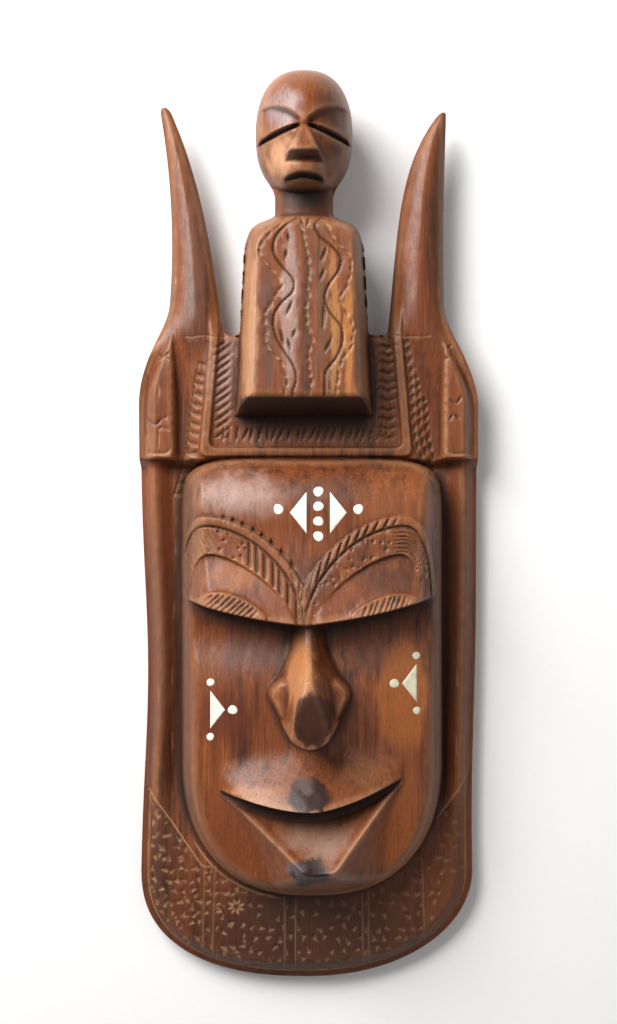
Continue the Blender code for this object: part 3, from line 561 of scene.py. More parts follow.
@dataclass
class Face:
    """The face: forehead with brow arches and lids, wedge nose, lips and jaw."""

    x: float = 0.0020
    half: float = 0.0730
    top_y: float = 0.0380
    top_turn: float = 0.0420
    top_power: float = 5.0
    foot_y: float = -0.2035
    foot_turn: float = 0.0785
    foot_power: float = 2.4
    wall: float = 0.0120
    slope: float = 1.75
    steep: float = 5.0
    ground_z: float = 0.0125
    top_ground_z: float = 0.0245
    cheek_z: float = 0.0460
    cheek_roll: float = 0.0050
    jaw_z: float = 0.0400
    socket_deep: float = 0.0070
    socket_y: float = -0.0570
    socket_reach: float = 0.0170
    forehead_top_z: float = 0.0310
    forehead_z: float = 0.0515
    forehead_roll_y: float = 0.0
    brow_z: float = 0.0590
    brow_x: float = -0.0020
    brow_foot_y: float = -0.0518
    brow_lift: float = 0.0127
    brow_half: float = 0.0680
    brow_step: float = 0.0026
    arch_rise: float = 0.0525
    arch_peak: float = 0.76
    arch_raise: float = 0.0013
    arch_wide: float = 0.0054
    lid_half: float = 0.0630
    lid_start: float = 0.07
    lid_peak: float = 0.79
    lid_rise: float = 0.0378
    lid_sink: float = 0.0022
    lid_swell: float = 0.0030
    nose_root_y: float = -0.0520
    nose_foot_y: float = -0.1150
    nose_root_z: float = 0.0540
    nose_tip_z: float = 0.0770
    nose_wing_half: float = 0.0215
    nose_flat: float = 0.0092
    nose_wing_z: float = 0.0610
    mouth_x: float = 0.0014
    mouth_half: float = 0.0496
    lip_foot_y: float = -0.1488
    lip_lift: Pair = (0.0093, 0.0157)
    lip_z: float = 0.0625
    corner_z: float = 0.0450
    corner_y: Pair = (-0.1395, -0.1331)
    gape: float = 0.0072
    gape_z: float = 0.0450
    lip_scoop: float = 0.74
    lip_reach: float = 0.0340
    lip_bump: float = 0.0030
    lip_rim: float = 0.0014
    chin_x: float = 0.0073
    chin_y: float = -0.1885
    chin_round: float = 0.0090
    chin_fall: float = 1.65

    def inset(self, x: Field, y: Field) -> Field:
        """Distance in from the outline of the face."""
        across = x - self.x
        top_y = self.top_y - self.top_turn
        foot_y = self.foot_y + self.foot_turn
        top = oval(across, y - top_y, self.half, self.top_turn, self.top_power)
        foot = oval(across, foot_y - y, self.half, self.foot_turn, self.foot_power)
        return np.where(y > top_y, top, np.where(y < foot_y, foot, self.half - np.abs(across)))

    def brow_foot(self, x: Field) -> Field:
        """Place along the mask of the lids' lower edge."""
        return self.brow_foot_y + self.brow_lift * (np.abs(x - self.brow_x) / self.lid_half) ** 1.5

    def arch(self, x: Field, y: Field, span: tuple[float, float, float, float], powers: Pair) -> Field:
        """Distance in from a brow arch, the same on both sides.

        Args:
            x: Places across the mask.
            y: Places along the mask.
            span: Where the arch springs and peaks as shares of its reach, its reach, and its rise.
            powers: How square its inner and outer halves are.

        Returns:
            The distance, negative outside the arch.
        """
        start, peak, half, rise = span
        away = np.abs(x - self.brow_x)
        crown = half * peak
        inner = oval(crown - away, y - self.brow_foot_y, crown - half * start, rise, powers[0])
        outer = oval(away - crown, y - self.brow_foot_y, half - crown, rise, powers[1])
        return np.where(away < crown, inner, outer)

    def brow(self, x: Field, y: Field) -> Field:
        """Distance in from the groove between the brow's ribbon and its band."""
        return self.arch(x, y, (0.0, self.arch_peak, self.brow_half, self.arch_rise), (1.75, 2.6))

    def lid(self, x: Field, y: Field) -> Field:
        """Distance in from the upper edge of the lid."""
        return self.arch(x, y, (self.lid_start, self.lid_peak, self.lid_half, self.lid_rise), (1.5, 2.4))

    def forehead(self, x: Field, y: Field) -> Field:
        """The plain forehead, rolling back to the headband and swelling down to the lids."""
        across = ((x - self.x) / self.half) ** 2
        swell = (self.brow_z - self.forehead_z) * ease(self.forehead_roll_y, self.brow_foot_y, y)
        roll = np.clip((y - self.forehead_roll_y) / (self.top_y - self.forehead_roll_y), 0.0, 1.0)
        rise = self.forehead_z + swell - (self.forehead_z - self.forehead_top_z) * roll**3
        return rise - self.cheek_roll * across

    def brow_relief(self, x: Field, y: Field) -> Field:
        """Brow arches raised from the forehead, and the lids sunk below them and swelling to their edge."""
        within = ease(-0.0006, 0.0010, self.lid(x, y))
        low = np.clip((y - self.brow_foot(x)) / (self.lid_rise * 0.8), 0.0, 1.0)
        groove = self.brow(x, y)
        ribbon = ease(-self.arch_wide - 0.0007, -self.arch_wide + 0.0007, groove)
        ribbon = ribbon * ease(0.0007, -0.0007, groove)
        band = ease(-0.0007, 0.0007, groove) * (1.0 - within)
        raised = self.arch_raise * (ribbon + 0.4 * band)
        return raised + within * mix(self.lid_swell, -self.lid_sink, low**0.7)

    def cheeks(self, x: Field, y: Field) -> Field:
        """The face below the lids, without nose and lips."""
        across = (x - self.x) / self.half
        chin = ease(self.chin_y + 0.045, self.foot_y, y)
        height = mix(self.cheek_z, self.jaw_z, chin) - self.cheek_roll * across**2
        return height - self.socket_deep * bump(y, self.socket_y, self.socket_reach) * (1.0 - 0.4 * across**2)

    def nose(self, x: Field, y: Field, ground: Field) -> Field:
        """The nose: a roofed bridge, two wedge wings and a broad flat-topped tip.

        Args:
            x: Places across the mask.
            y: Places along the mask.
            ground: Heights of the cheeks that it stands on.

        Returns:
            Heights with the nose.
        """
        share = np.clip((self.nose_root_y - y) / (self.nose_root_y - self.nose_foot_y), 0.0, 1.0)
        away = np.abs(x - self.x * 0.5 * share)
        crests = (
            self.nose_root_z, self.nose_root_z * 1.1,
            self.nose_tip_z * 0.975, self.nose_tip_z, self.nose_tip_z * 0.96,
        )
        crest = flow(share, (0.0, 0.2, 0.43, 0.75, 1.0), crests)
        flat = self.nose_flat * flow(share, (0.0, 0.4, 0.87, 1.0), (0.16, 0.2, 1.0, 1.0))
        roof = crest - mix(2.1, 3.6, ease(0.4, 0.8, share)) * np.maximum(away - flat, 0.0)
        stations = (0.0, 0.30, 0.40, 0.55, 0.72, 0.9, 1.0)
        spread = self.nose_wing_half * flow(share, stations, (0.33, 0.44, 0.62, 1.0, 0.82, 0.58, 0.5))
        wing = self.nose_wing_z - 0.32 * away - 2.4 * np.maximum(away - spread + 0.0025, 0.0)
        wing = mix(ground - 0.002, wing, ease(0.28, 0.5, share))
        shape = soft_max(roof, wing, 0.0015)
        foot = self.nose_foot_y + 0.007 * np.clip(away / self.nose_wing_half * 1.8, 0.0, 2.0) ** 2
        shape = mix(ground - 0.002, shape, ease(foot - 0.0012, foot + 0.0016, y))
        shape = mix(shape, ground - 0.002, ease(self.nose_root_y, self.nose_root_y + 0.003, y))
        return soft_max(ground, shape, 0.0020)

    def lip_line(self, x: Field) -> Field:
        """Place along the mask of the upper lip's lower edge."""
        side = (x - self.mouth_x) / self.mouth_half
        lift = np.where(side < 0.0, self.lip_lift[0] * side**2, self.lip_lift[1] * np.abs(side) ** 1.6)
        return self.lip_foot_y + lift

    def mouth(self, x: Field, y: Field, ground: Field) -> Field:
        """The lips: an overhanging upper lip, a dark gape and a lower lip cut to a V.

        Args:
            x: Places across the mask.
            y: Places along the mask.
            ground: Heights of the cheeks that they stand on.

        Returns:
            Heights with the lips.
        """
        side = (x - self.mouth_x) / self.mouth_half
        span = np.clip(1.0 - side**2, 0.0, 1.0)
        lip_y = self.lip_line(x)
        over = (self.lip_z - self.corner_z) * span**0.9 + self.lip_bump * bump(side, 0.0, 0.3)
        above = np.clip((y - lip_y) / (self.lip_reach * mix(0.45, 1.0, span)), 0.0, 1.0)
        upper = ground + over * mix((1.0 - above) ** 2, 1.0 - ease(0.0, 1.0, above), 0.55)
        gape_y = lip_y - self.gape * span**0.6
        gape = mix(ground, self.gape_z, ease(0.0, 0.45, span))
        scoop = gape + self.lip_scoop * (gape_y - y)
        left = (self.corner_y[0] - self.chin_y) / (self.mouth_half + self.chin_x - self.mouth_x)
        right = (self.corner_y[1] - self.chin_y) / (self.mouth_half - self.chin_x + self.mouth_x)
        beyond_left = (self.chin_y + left * (self.chin_x - x) - y) / np.hypot(left, 1.0)
        beyond_right = (self.chin_y + right * (x - self.chin_x) - y) / np.hypot(right, 1.0)
        beyond = soft_max(beyond_left, beyond_right, self.chin_round)
        lower = soft_max(scoop - self.chin_fall * soft_max(beyond, 0.0, 0.003), ground, 0.002)
        within = ease(0.002, -0.001, beyond)
        below = mix(lower, np.maximum(gape, scoop), within * ease(0.0, 0.1, span))
        below = below + self.lip_rim * bump(beyond, -0.0008, 0.0022) * ease(0.0, 0.06, span)
        below = mix(below, gape, ease(-0.0015, 0.0, y - gape_y) * ease(0.0, 0.1, span))
        shape = mix(below, upper, ease(lip_y - 0.0012, lip_y + 0.0012, y))
        return np.where(np.abs(side) < 1.0, shape, ground)

    def front(self, x: Field, y: Field) -> Field:
        """The whole face over its outline, with its chamfered border."""
        lower = self.nose(x, y, self.mouth(x, y, self.cheeks(x, y)))
        foot = self.brow_foot(x)
        within = self.inset(x, y)
        ground = mix(self.ground_z, self.top_ground_z, ease(self.top_y - 0.022, self.top_y, y))
        wall = ground + self.steep * within
        border = soft_min(ground + self.wall + self.slope * within, wall, 0.004)
        lower = soft_min(lower, border, 0.005)
        upper = soft_min(self.forehead(x, y), border, 0.005) + self.brow_relief(x, y)
        return mix(lower, upper, ease(foot - self.brow_step * 0.5, foot + self.brow_step * 0.5, y))


@dataclass
class Hollow:
    """The gouged hollow of the back."""

    x: float = 0.0020
    y: float = -0.0850
    half_length: float = 0.1050
    half_width: float = 0.0520
    floor: float = 0.72
    deep: float = 0.0180
    power: float = 2.6
    scallop: float = 0.0007
    scallop_pitch: float = 0.0110

    def rise(self, x: Field, y: Field) -> Field:
        """How far the back is cut away, with the scallops that a gouge leaves."""
        across = np.abs(x - self.x) / self.half_width
        along = np.abs(y - self.y) / self.half_length
        rho = (across**self.power + along**self.power) ** (1.0 / self.power)
        inside = ease(1.0, self.floor, rho)
        row = np.cos((x - self.x) / self.scallop_pitch * 2.0 * math.pi)
        bite = np.cos((y + 0.3 * x) / (self.scallop_pitch * 2.3) * 2.0 * math.pi)
        return self.deep * inside - self.scallop * inside * (1.0 + 0.6 * row + 0.4 * bite)


@dataclass
class Block:
    """The plain carved block: every form that shows from a step away."""

    plank: Plank = field(default_factory=Plank)
    horns: Horns = field(default_factory=Horns)
    figure: Figure = field(default_factory=Figure)
    band: Headband = field(default_factory=Headband)
    face: Face = field(default_factory=Face)
    hollow: Hollow = field(default_factory=Hollow)
    bed: float = 0.0010
    facet: float = 0.00010

    def outer_half(self, x: Field, y: Field) -> Field:
        """How far the silhouette stands from the axis on this side of it."""
        horns = self.horns
        share = ease(horns.shoulder_y, horns.shoulder_y + horns.shoulder_rise, y)
        return mix(self.plank.half(x, y), horns.outer(x, y), share)

    def outline(self, x: Field, y: Field) -> Field:
        """Distance in from the silhouette, negative outside it."""
        plank, horns, figure = self.plank, self.horns, self.figure
        turn_y = plank.end_y + plank.end_turn
        half = self.outer_half(x, np.maximum(y, turn_y))
        rounded = oval(x, turn_y - y, half, plank.end_turn, sided(x, plank.end_power))
        outer = np.where(y < turn_y, rounded, half - np.abs(x))
        outer = soft_min(outer, sided(x, horns.tip_y) - y, horns.tip_round)
        inner = np.abs(x) - horns.inner(x, y, plank.top_y)
        within = soft_max(plank.top_y - y, inner, horns.crotch)
        neck = np.minimum(figure.neck_half - np.abs(x - figure.x), figure.head_top_y - figure.head_up - y)
        neck = np.minimum(neck, y - figure.top_y + figure.shoulder_round)
        person = soft_max(figure.body_in(x, y), neck, horns.crotch)
        person = soft_max(person, figure.head_in(x, y), horns.crotch)
        body = soft_min(outer, within, horns.tip_round)
        return soft_max(body, person, horns.crotch * 0.5)

    def horn_share(self, x: Field, y: Field) -> tuple[Field, Field]:
        """The horn's width, and the share of its thickness across it, with a soft ridge."""
        inner = self.horns.inner(x, y, self.plank.top_y)
        width = np.maximum(self.outer_half(x, y) - inner, TINY)
        share = np.clip((np.abs(x) - inner) / width, 0.0, 1.0)
        ridge = self.horns.ridge
        near = np.where(share < ridge, share / ridge, (1.0 - share) / (1.0 - ridge))
        return width, 0.72 * np.sqrt(np.clip(1.0 - (1.0 - near) ** 2, 0.0, 1.0)) + 0.28 * near

    def between(self, x: Field) -> Field:
        """Whether a place is nearer the figure than the horns."""
        return np.abs(x) < (self.horns.inside[1] + self.figure.half_foot) * 0.5

    def back(self, x: Field, y: Field, edge: Field) -> Field:
        """The underside: a flat rim round a gouged hollow, rounded backs on horns and figure."""
        figure = self.figure
        plain = self.plank.back_edge * ease(self.plank.back_edge * 1.5, 0.0, edge) + self.hollow.rise(x, y)
        width, share = self.horn_share(x, y)
        horn = self.horns.mid_z - self.horns.thick * width * share
        head_in = figure.head_in(x, y)
        head = np.clip(head_in / figure.head_half, 0.0, 1.0)
        skull = figure.head_mid_z - figure.head_back * np.sqrt(np.clip(1.0 - (1.0 - head) ** 2, 0.0, 1.0))
        torso = np.clip(figure.body_in(x, y) / figure.shoulder_round, 0.0, 1.0)
        body = mix(figure.base_z * 0.9, figure.back_z, np.sqrt(1.0 - (1.0 - torso) ** 2))
        neck = figure.neck_share(x, y)
        nape = mix(figure.head_mid_z, figure.neck_back_z, np.sqrt(1.0 - (1.0 - neck) ** 2))
        body = np.where(torso > 0.0, body, nape)
        body = np.minimum(body, np.where(neck > 0.0, nape, body))
        body = np.where(head_in > 0.0, soft_min(body, skull, 0.004), body)
        limb = np.where(self.between(x), body, horn)
        return mix(plain, limb, ease(self.plank.top_y - 0.010, self.plank.top_y + 0.015, y))

    def front(self, x: Field, y: Field) -> Field:
        """The carved side without its fine ornament."""
        plank, horns, figure, band, face = self.plank, self.horns, self.figure, self.band, self.face
        edge = np.maximum(self.outline(x, y), 0.0)
        lobe_y = band.lobe_foot_y
        base = mix(plank.front(y, edge), band.front(x, y), ease(lobe_y - 0.004, lobe_y + 0.002, y))
        base = soft_max(base, band.lobe(x, y, edge, plank), 0.0012)
        width, share = self.horn_share(x, y)
        horn = horns.mid_z + horns.thick * width * share
        base = mix(base, horn, ease(plank.top_y - 0.014, plank.top_y + 0.020, y))
        base = np.where(self.between(x) & (y > plank.top_y), band.field_z, base)
        base = np.where(face.inset(x, y) > 0.0, soft_max(base, face.front(x, y), 0.002), base)
        on_body = (figure.body_in(x, y) > -0.002) & (y > figure.foot_y)
        base = np.where(on_body, soft_max(base, figure.body_front(x, y), 0.002), base)
        neck = figure.neck_share(x, y)
        throat = mix(figure.head_mid_z, figure.neck_front_z, np.sqrt(1.0 - (1.0 - neck) ** 2))
        on_neck = (neck > 0.0) & (y > figure.top_y - figure.shoulder_round)
        base = np.where(on_neck, np.maximum(throat, np.where(on_body, base, 0.0)), base)
        head = np.maximum(figure.head_shape(x, y), throat * (neck > 0.0))
        base = np.where(figure.head_in(x, y) > 0.0, head, base)
        base = base + self.facets(x, y) * ease(0.0, 0.004, edge)
        return np.maximum(base, self.back(x, y, edge) + self.bed)

    def facets(self, x: Field, y: Field) -> Field:
        """The slight unevenness that a knife leaves on every plain surface."""
        one = np.sin(x * 410.0 + 1.3 * np.sin(y * 170.0)) * np.sin(y * 240.0 + 0.9 * np.sin(x * 260.0))
        two = np.sin(x * 760.0 + y * 310.0 + 2.0) * np.sin(y * 520.0 - x * 190.0)
        return self.facet * (one + 0.5 * two)


@dataclass
class Cuts:
    """Depth of the ornament at a set of points, and how much raw wood it lays bare."""

    x: Field
    y: Field
    depth: Field = field(init=False)
    fresh: Field = field(init=False)

    def __post_init__(self) -> None:
        """Starts with an uncut surface."""
        self.depth = np.zeros_like(self.x)
        self.fresh = np.zeros_like(self.x)

    def press(self, amount: Field, bare: float) -> None:
        """Cuts into the wood.

        Args:
            amount: Depth of the new cut.
            bare: How pale the wood that it shows is, from 0 to 1.
        """
        self.depth = np.maximum(self.depth, amount)
        self.fresh = np.maximum(self.fresh, bare * np.clip(amount / 0.0003, 0.0, 1.0))

    def strokes(self, ends: tuple[tuple[Pair, Pair], ...], wide: float, deep: float, bare: float) -> None:
        """Cuts single strokes.

        Args:
            ends: Each stroke's two ends, in millimetres.
            wide: Their width.
            deep: Their depth.
            bare: How pale the wood that they show is.
        """
        for pair in ends:
            self.press(stroke(self.x, self.y, pair, wide, deep), bare)


@dataclass
class Ornament:
    """The engraved and chip-carved ornament, cut into the block.

    The curves on the figure's body and the bands' outer edges are pixels of the photograph, read from their
    top down. Each ruled line has its place across the mask, in millimetres, and its lean.
    """

    block: Block
    chip_deep: float = 0.0014
    wave_left: tuple[Pair, ...] = (
        (296.4, 216.7), (282.1, 228.6), (273.8, 242.9), (274.5, 254.0), (283.0, 267.0), (293.0, 279.0),
        (292.5, 292.0), (282.1, 302.4), (274.5, 314.3), (273.8, 325.0), (277.0, 338.0), (285.0, 352.0),
        (294.0, 366.0), (296.4, 379.0), (292.9, 391.7),
    )
    dash_left: tuple[Pair, ...] = (
        (288.0, 213.0), (278.6, 225.0), (267.9, 235.7), (261.0, 246.0), (263.1, 260.7), (274.0, 272.0),
        (283.3, 282.0), (279.0, 292.0), (270.0, 304.0), (264.8, 317.0), (266.3, 333.0), (268.0, 347.0),
        (281.0, 360.7), (287.0, 376.0), (285.7, 390.5),
    )
    middle: tuple[Pair, ...] = (
        (301.2, 226.0), (306.0, 247.6), (310.2, 269.0), (309.0, 285.0), (307.1, 305.0),
        (308.3, 323.8), (311.9, 338.1), (309.5, 362.0), (311.9, 377.4), (310.7, 392.9),
    )
    wave_right: tuple[Pair, ...] = (
        (322.0, 214.0), (315.5, 224.0), (321.0, 237.0), (333.0, 247.0), (341.0, 258.0), (339.0, 270.0),
        (329.0, 285.0), (325.0, 298.0), (331.0, 313.0), (341.0, 326.0), (343.0, 340.0), (336.0, 358.0),
        (326.5, 371.0), (325.0, 385.0),
    )
    dash_right: tuple[Pair, ...] = (
        (326.0, 222.0), (336.9, 242.9), (348.0, 254.0), (351.0, 268.0), (346.4, 285.7), (341.0, 300.0),
        (348.0, 315.0), (353.6, 333.3), (350.0, 349.0), (341.7, 364.3), (339.0, 378.6), (336.9, 392.9),
    )
    band_left: tuple[Pair, ...] = (
        (198.0, 368.0), (195.0, 384.0), (192.0, 405.0), (188.0, 435.0), (182.0, 463.0), (173.0, 495.0),
    )
    band_right: tuple[Pair, ...] = (
        (413.0, 365.0), (420.0, 385.0), (427.0, 405.0), (431.0, 440.0), (436.0, 465.0), (443.0, 495.0),
    )
    ruled: tuple[Pair, ...] = (
        (-57.9, 0.02), (-52.3, 0.03), (-13.1, 0.0), (-7.0, 0.01), (30.0, 0.0), (33.3, 0.0), (63.6, -0.03),
    )

    def rising(self, places: list[Pair]) -> tuple[tuple[float, ...], tuple[float, ...]]:
        """Splits the places of a curve, listed from its top, into rising stations and places across."""
        return tuple(place[1] for place in reversed(places)), tuple(place[0] for place in reversed(places))

    def off_curve(self, x: Field, y: Field, stations: tuple[float, ...], places: tuple[float, ...]) -> Field:
        """Distance across a curve that runs along the mask.

        Args:
            x: Places across the mask.
            y: Places along the mask.
            stations: Rising stations along the mask, in millimetres.
            places: The curve's place across the mask at each station, in millimetres.

        Returns:
            The distance, positive to the right of the curve.
        """
        reach = 0.4
        here = flow(y / MM, stations, places)
        rise = flow(y / MM + reach, stations, places) - flow(y / MM - reach, stations, places)
        slope = rise / (2.0 * reach)
        return (x - here * MM) / np.hypot(slope, 1.0)

    def body(self, cuts: Cuts) -> None:
        """The waving ribbons down the figure's body."""
        x, y = cuts.x, cuts.y
        inside = ease(0.068, 0.0695, y) * ease(0.1675, 0.163, y)
        for pixels in (self.wave_left, self.wave_right):
            away = self.off_curve(x, y, *self.rising([on_body(pixel) for pixel in pixels]))
            cuts.press(line(away, 0.0018, 0.0013) * inside, 0.10)
        for pixels, seed in ((self.dash_left, 1.0), (self.dash_right, 2.0), (self.middle, 3.0)):
            step, cell = repeat(y, 0.0046, seed, 0.2)
            away = self.off_curve(x, y, *self.rising([on_body(pixel) for pixel in pixels]))
            away = away + (chance(cell, seed + 5.0) - 0.5) * 0.0011
            lean = (chance(cell, seed + 9.0) - 0.5) * 0.5
            cuts.press(leaf(step, away + step * lean, (0.0052, 0.0022, 0.0013)) * inside, 0.42)
        leaves = (
            (on_body((288, 232)), (-10.2, 149.5)), ((-11.5, 147.0), (-12.2, 140.5)),
            (on_body((293, 300)), on_body((286, 316))), (on_body((296, 328)), (-8.6, 99.0)),
            ((-10.8, 99.5), (-9.3, 92.5)), ((-15.0, 105.0), (-12.6, 95.0)),
            (on_body((327, 247)), on_body((321, 262))), (on_body((325, 268)), on_body((320, 281))),
            ((8.3, 119.8), on_body((324, 330))), (on_body((332, 338)), (8.4, 91.5)),
            ((-3.9, 164.0), (-2.6, 157.0)), ((0.3, 165.0), (-1.0, 158.0)),
        )
        cuts.strokes(leaves, 0.0024, 0.0014, 0.10)

    def headband(self, cuts: Cuts) -> None:
        """The hatching inside the ribbon, and the line across the roots of the horns."""
        x, y = cuts.x, cuts.y
        columns = ease(0.0475, 0.0495, y) * ease(0.1025, 0.1005, y)
        step, cell = repeat(y - 0.70 * (x + 0.047), 0.0045, 11.0)
        long = 0.0138 + (chance(cell, 12.0) - 0.5) * 0.003
        cuts.press(leaf((x + 0.0468) * 1.22, step * 0.82, (long, 0.0024, 0.0015)) * columns, 0.18)
        step, cell = repeat(y + 0.06 * x, 0.0050, 13.0)
        long = 0.0145 + (chance(cell, 14.0) - 0.5) * 0.003
        wavy = step + 0.0006 * np.sin(x * 900.0)
        cuts.press(leaf(x - 0.0425, wavy, (long, 0.0024, 0.0015)) * columns, 0.18)
        step, cell = repeat(x, 0.0041, 15.0, 0.2)
        lean = 0.25 + (chance(cell, 16.0) - 0.5) * 0.5
        row = leaf(y - 0.0512, step - lean * (y - 0.0512), (0.0104, 0.0022, 0.0014))
        row = row * (np.abs(x + 0.0025) < 0.047)
        cuts.press(row, 0.20)
        across = ((np.abs(x) > 0.0455) & (np.abs(x) < 0.0675)).astype(float)
        cuts.press(line(y - 0.1040 - 0.0003 * np.sin(x * 300.0), 0.0009, 0.0005) * across, 0.5)

    def bands(self, cuts: Cuts) -> None:
        """The two chip-carved bands that run from the horns down beside the forehead."""
        x, y = cuts.x, cuts.y
        edge = [on_mask(pixel, BAND_HIGH) for pixel in self.band_left]
        stations, places = self.rising([(-60.0, 104.0), *edge])
        outer = self.off_curve(x, y, stations, places)
        inner = self.off_curve(x, y, stations, (-69.0, -62.2, -59.0, -57.7, -56.9, -56.2, -55.6))
        span = ease(0.016, 0.019, y) * ease(0.0925, 0.0895, y)
        cuts.press(line(outer, 0.0014, 0.0009) * span, 0.15)
        middle = (outer + inner) / 2.0
        step, _ = repeat(y + 0.25 * middle, 0.0054, 21.0)
        low = ease(0.047, 0.040, y)
        rung = leaf(middle, step + 0.05 * middle, (0.0078, 0.0030, 0.0017))
        chip = tooth(-middle, step - 0.35 * middle, (0.0078, 0.0066, 0.0018))
        bare = (outer > 0.0) & (inner < 0.0)
        cuts.press(mix(rung, chip, low) * span * bare, 0.30)
        edge = [on_mask(pixel, BAND_HIGH) for pixel in self.band_right]
        stations, places = self.rising([(54.5, 103.0), *edge])
        right = self.off_curve(x, y, stations, places)
        left = self.off_curve(x, y, stations, (68.6, 61.5, 56.9, 55.3, 54.6, 53.7, 51.7))
        span = ease(0.016, 0.019, y) * ease(0.1035, 0.1015, y)
        cuts.press(line(left, 0.0013, 0.0008) * span, 0.10)
        column = np.floor(left / 0.0036)
        slant = left - (column + 0.5) * 0.0036
        step, _ = repeat(y + 0.0026 * column, 0.0052, 23.0)
        turned = leaf(0.86 * step + 0.5 * slant, 0.86 * slant - 0.5 * step, (0.0070, 0.0034, 0.0016))
        cuts.press(turned * span * (left > 0.0) * ease(0.0012, 0.0, right), 0.22)

    def lobes(self, cuts: Cuts) -> None:
        """The dashed outlines and small marks on the lobes and horns."""
        x, y = cuts.x, cuts.y
        edge = self.block.outline(x, y)
        inset = np.minimum(self.block.band.lobe_inset(x, y), edge) - 0.0042
        near = ease(0.100, 0.090, y) * (y > 0.030) * (np.abs(x) > 0.068)
        step, _ = repeat(y, 0.0052, 31.0, 0.15)
        dash = line(inset, 0.0014, 0.0007) * np.clip(1.3 - np.abs(step) / 0.0020, 0.0, 1.0)
        inner = (inset < 0.003) & (np.abs(x) < 0.077)
        cuts.press(dash * near * inner, 0.45)
        foot = line(inset, 0.0017, 0.0008) * ease(0.052, 0.047, y) * (y > 0.034)
        cuts.press(foot * (x < 0.0), 0.50)
        cuts.press(foot * (x > 0.0), 0.25)
        pale = (
            ((-88.6, 57.5), (-86.6, 43.0)), ((-81.2, 53.0), (-81.8, 42.5)), ((-82.4, 52.6), (-79.2, 54.6)),
            ((-79.2, 54.6), (-75.4, 52.0)), ((-81.8, 90.2), (-78.9, 92.6)), ((-78.9, 92.6), (-75.8, 91.0)),
            (on_mask((175, 275), HORN_MARK_HIGH), (-73.0, 133.0)),
            ((71.2, 133.6), on_mask((439, 296), HORN_MARK_HIGH)), ((-76.5, 60.5), (-79.0, 58.4)),
            ((-81.6, 79.0), (-81.5, 69.5)), ((78.4, 95.0), (80.8, 88.5)),
        )
        cuts.strokes(pale, 0.0013, 0.0007, 0.50)
        dark = (
            ((-88.2, 60.3), (-83.6, 55.2)), ((-83.6, 55.2), (-79.6, 59.6)), ((-81.8, 94.3), (-78.6, 92.6)),
            ((-79.2, 92.6), (-75.7, 95.6)), ((76.6, 70.6), (80.2, 66.8)), ((80.2, 66.8), (83.9, 71.6)),
            ((76.2, 57.4), (79.2, 62.0)), ((79.2, 62.0), (82.8, 58.6)), ((75.5, 97.6), (78.6, 99.6)),
            ((74.0, 91.2), (76.4, 92.6)),
        )
        cuts.strokes(dark, 0.0019, 0.0011, 0.10)

    def brows(self, cuts: Cuts) -> None:
        """The notched ribbon and slatted band of the left brow, the rope and chipped band of the right."""
        face = self.block.face
        x, y = cuts.x, cuts.y
        groove = face.brow(x, y)
        lid = face.lid(x, y)
        above = y > face.brow_foot(x) + 0.0006
        on_face = (face.inset(x, y) > 0.004) & above
        left = x < face.brow_x - 0.0012
        right = x > face.brow_x + 0.0012
        cuts.press(line(groove, 0.0020, 0.0015) * on_face, 0.10)
        cuts.press(line(groove + face.arch_wide, 0.0017, 0.0010) * on_face * left, 0.12)
        rise = groove + face.arch_wide
        step, _ = repeat(x, 0.0051, 41.0)
        part = ease(-0.050, -0.042, x) * ease(-0.004, -0.010, x)
        notch = tooth(step + 0.3 * rise, rise + 0.0004, (0.0050, 0.0050, 0.0022))
        cuts.press(notch * part * on_face * left, 0.20)
        step, _ = repeat(x + 0.62 * rise, 0.0050, 43.0, 0.08)
        ribbon = ease(-0.0006, 0.0008, rise) * ease(0.0, -0.0010, groove)
        part = ease(0.000, 0.004, x) * ease(0.050, 0.043, x)
        cuts.press(line(step, 0.0024, 0.0017) * ribbon * part * on_face * right, 0.12)
        rim = (1.0 - 0.7 * np.clip(1.0 - np.abs(step) / 0.0014, 0.0, 1.0)) * ease(0.0011, 0.0, np.abs(rise))
        cuts.press(0.0009 * (1.0 - rim) * ease(0.0012, 0.0002, np.abs(rise)) * part * on_face * right, 0.0)
        band = ease(0.0004, 0.0014, groove) * ease(-0.0004, -0.0014, lid) * on_face
        step, _ = repeat(x, 0.0042, 45.0, 0.1)
        slats = line(step, 0.0025, 0.0017) * ease(-0.036, -0.031, x) * ease(-0.002, -0.006, x)
        cuts.press(slats * band * left, 0.20)
        chipped = band * left * ease(-0.030, -0.034, x) * ease(-0.053, -0.050, x)
        self.chips(cuts, chipped, 0.0047, 47.0, 0.28, self.chip_deep)
        chipped = band * right * ease(0.001, 0.004, x) * ease(0.047, 0.043, x)
        self.chips(cuts, chipped, 0.0046, 49.0, 0.25, self.chip_deep)
        scratch, _ = repeat(x * 0.8 + y * 0.45, 0.0016, 51.0, 0.3)
        outer = left * ease(-0.048, -0.053, x) * (lid < -0.0004) * (groove > 0.0004) * above
        cuts.press(line(scratch, 0.0012, 0.0008) * outer, 0.30)
        ring, _ = repeat(groove, 0.0021, 53.0, 0.1)
        outer = right * ease(0.043, 0.048, x) * (lid < -0.0004) * (groove > 0.0006) * on_face
        cuts.press(line(ring, 0.0014, 0.0009) * outer, 0.15)
        root = (
            ((-6.6, -31.0), (-3.4, -50.0)), ((-0.6, -40.0), (-3.6, -50.5)), ((-4.0, -28.0), (-5.2, -38.0)),
            ((1.5, -34.0), (-1.6, -49.0)), ((-8.6, -24.0), (-6.6, -30.0)), ((-2.6, -31.0), (-4.2, -44.0)),
        )
        cuts.strokes(root, 0.0021, 0.0012, 0.35)

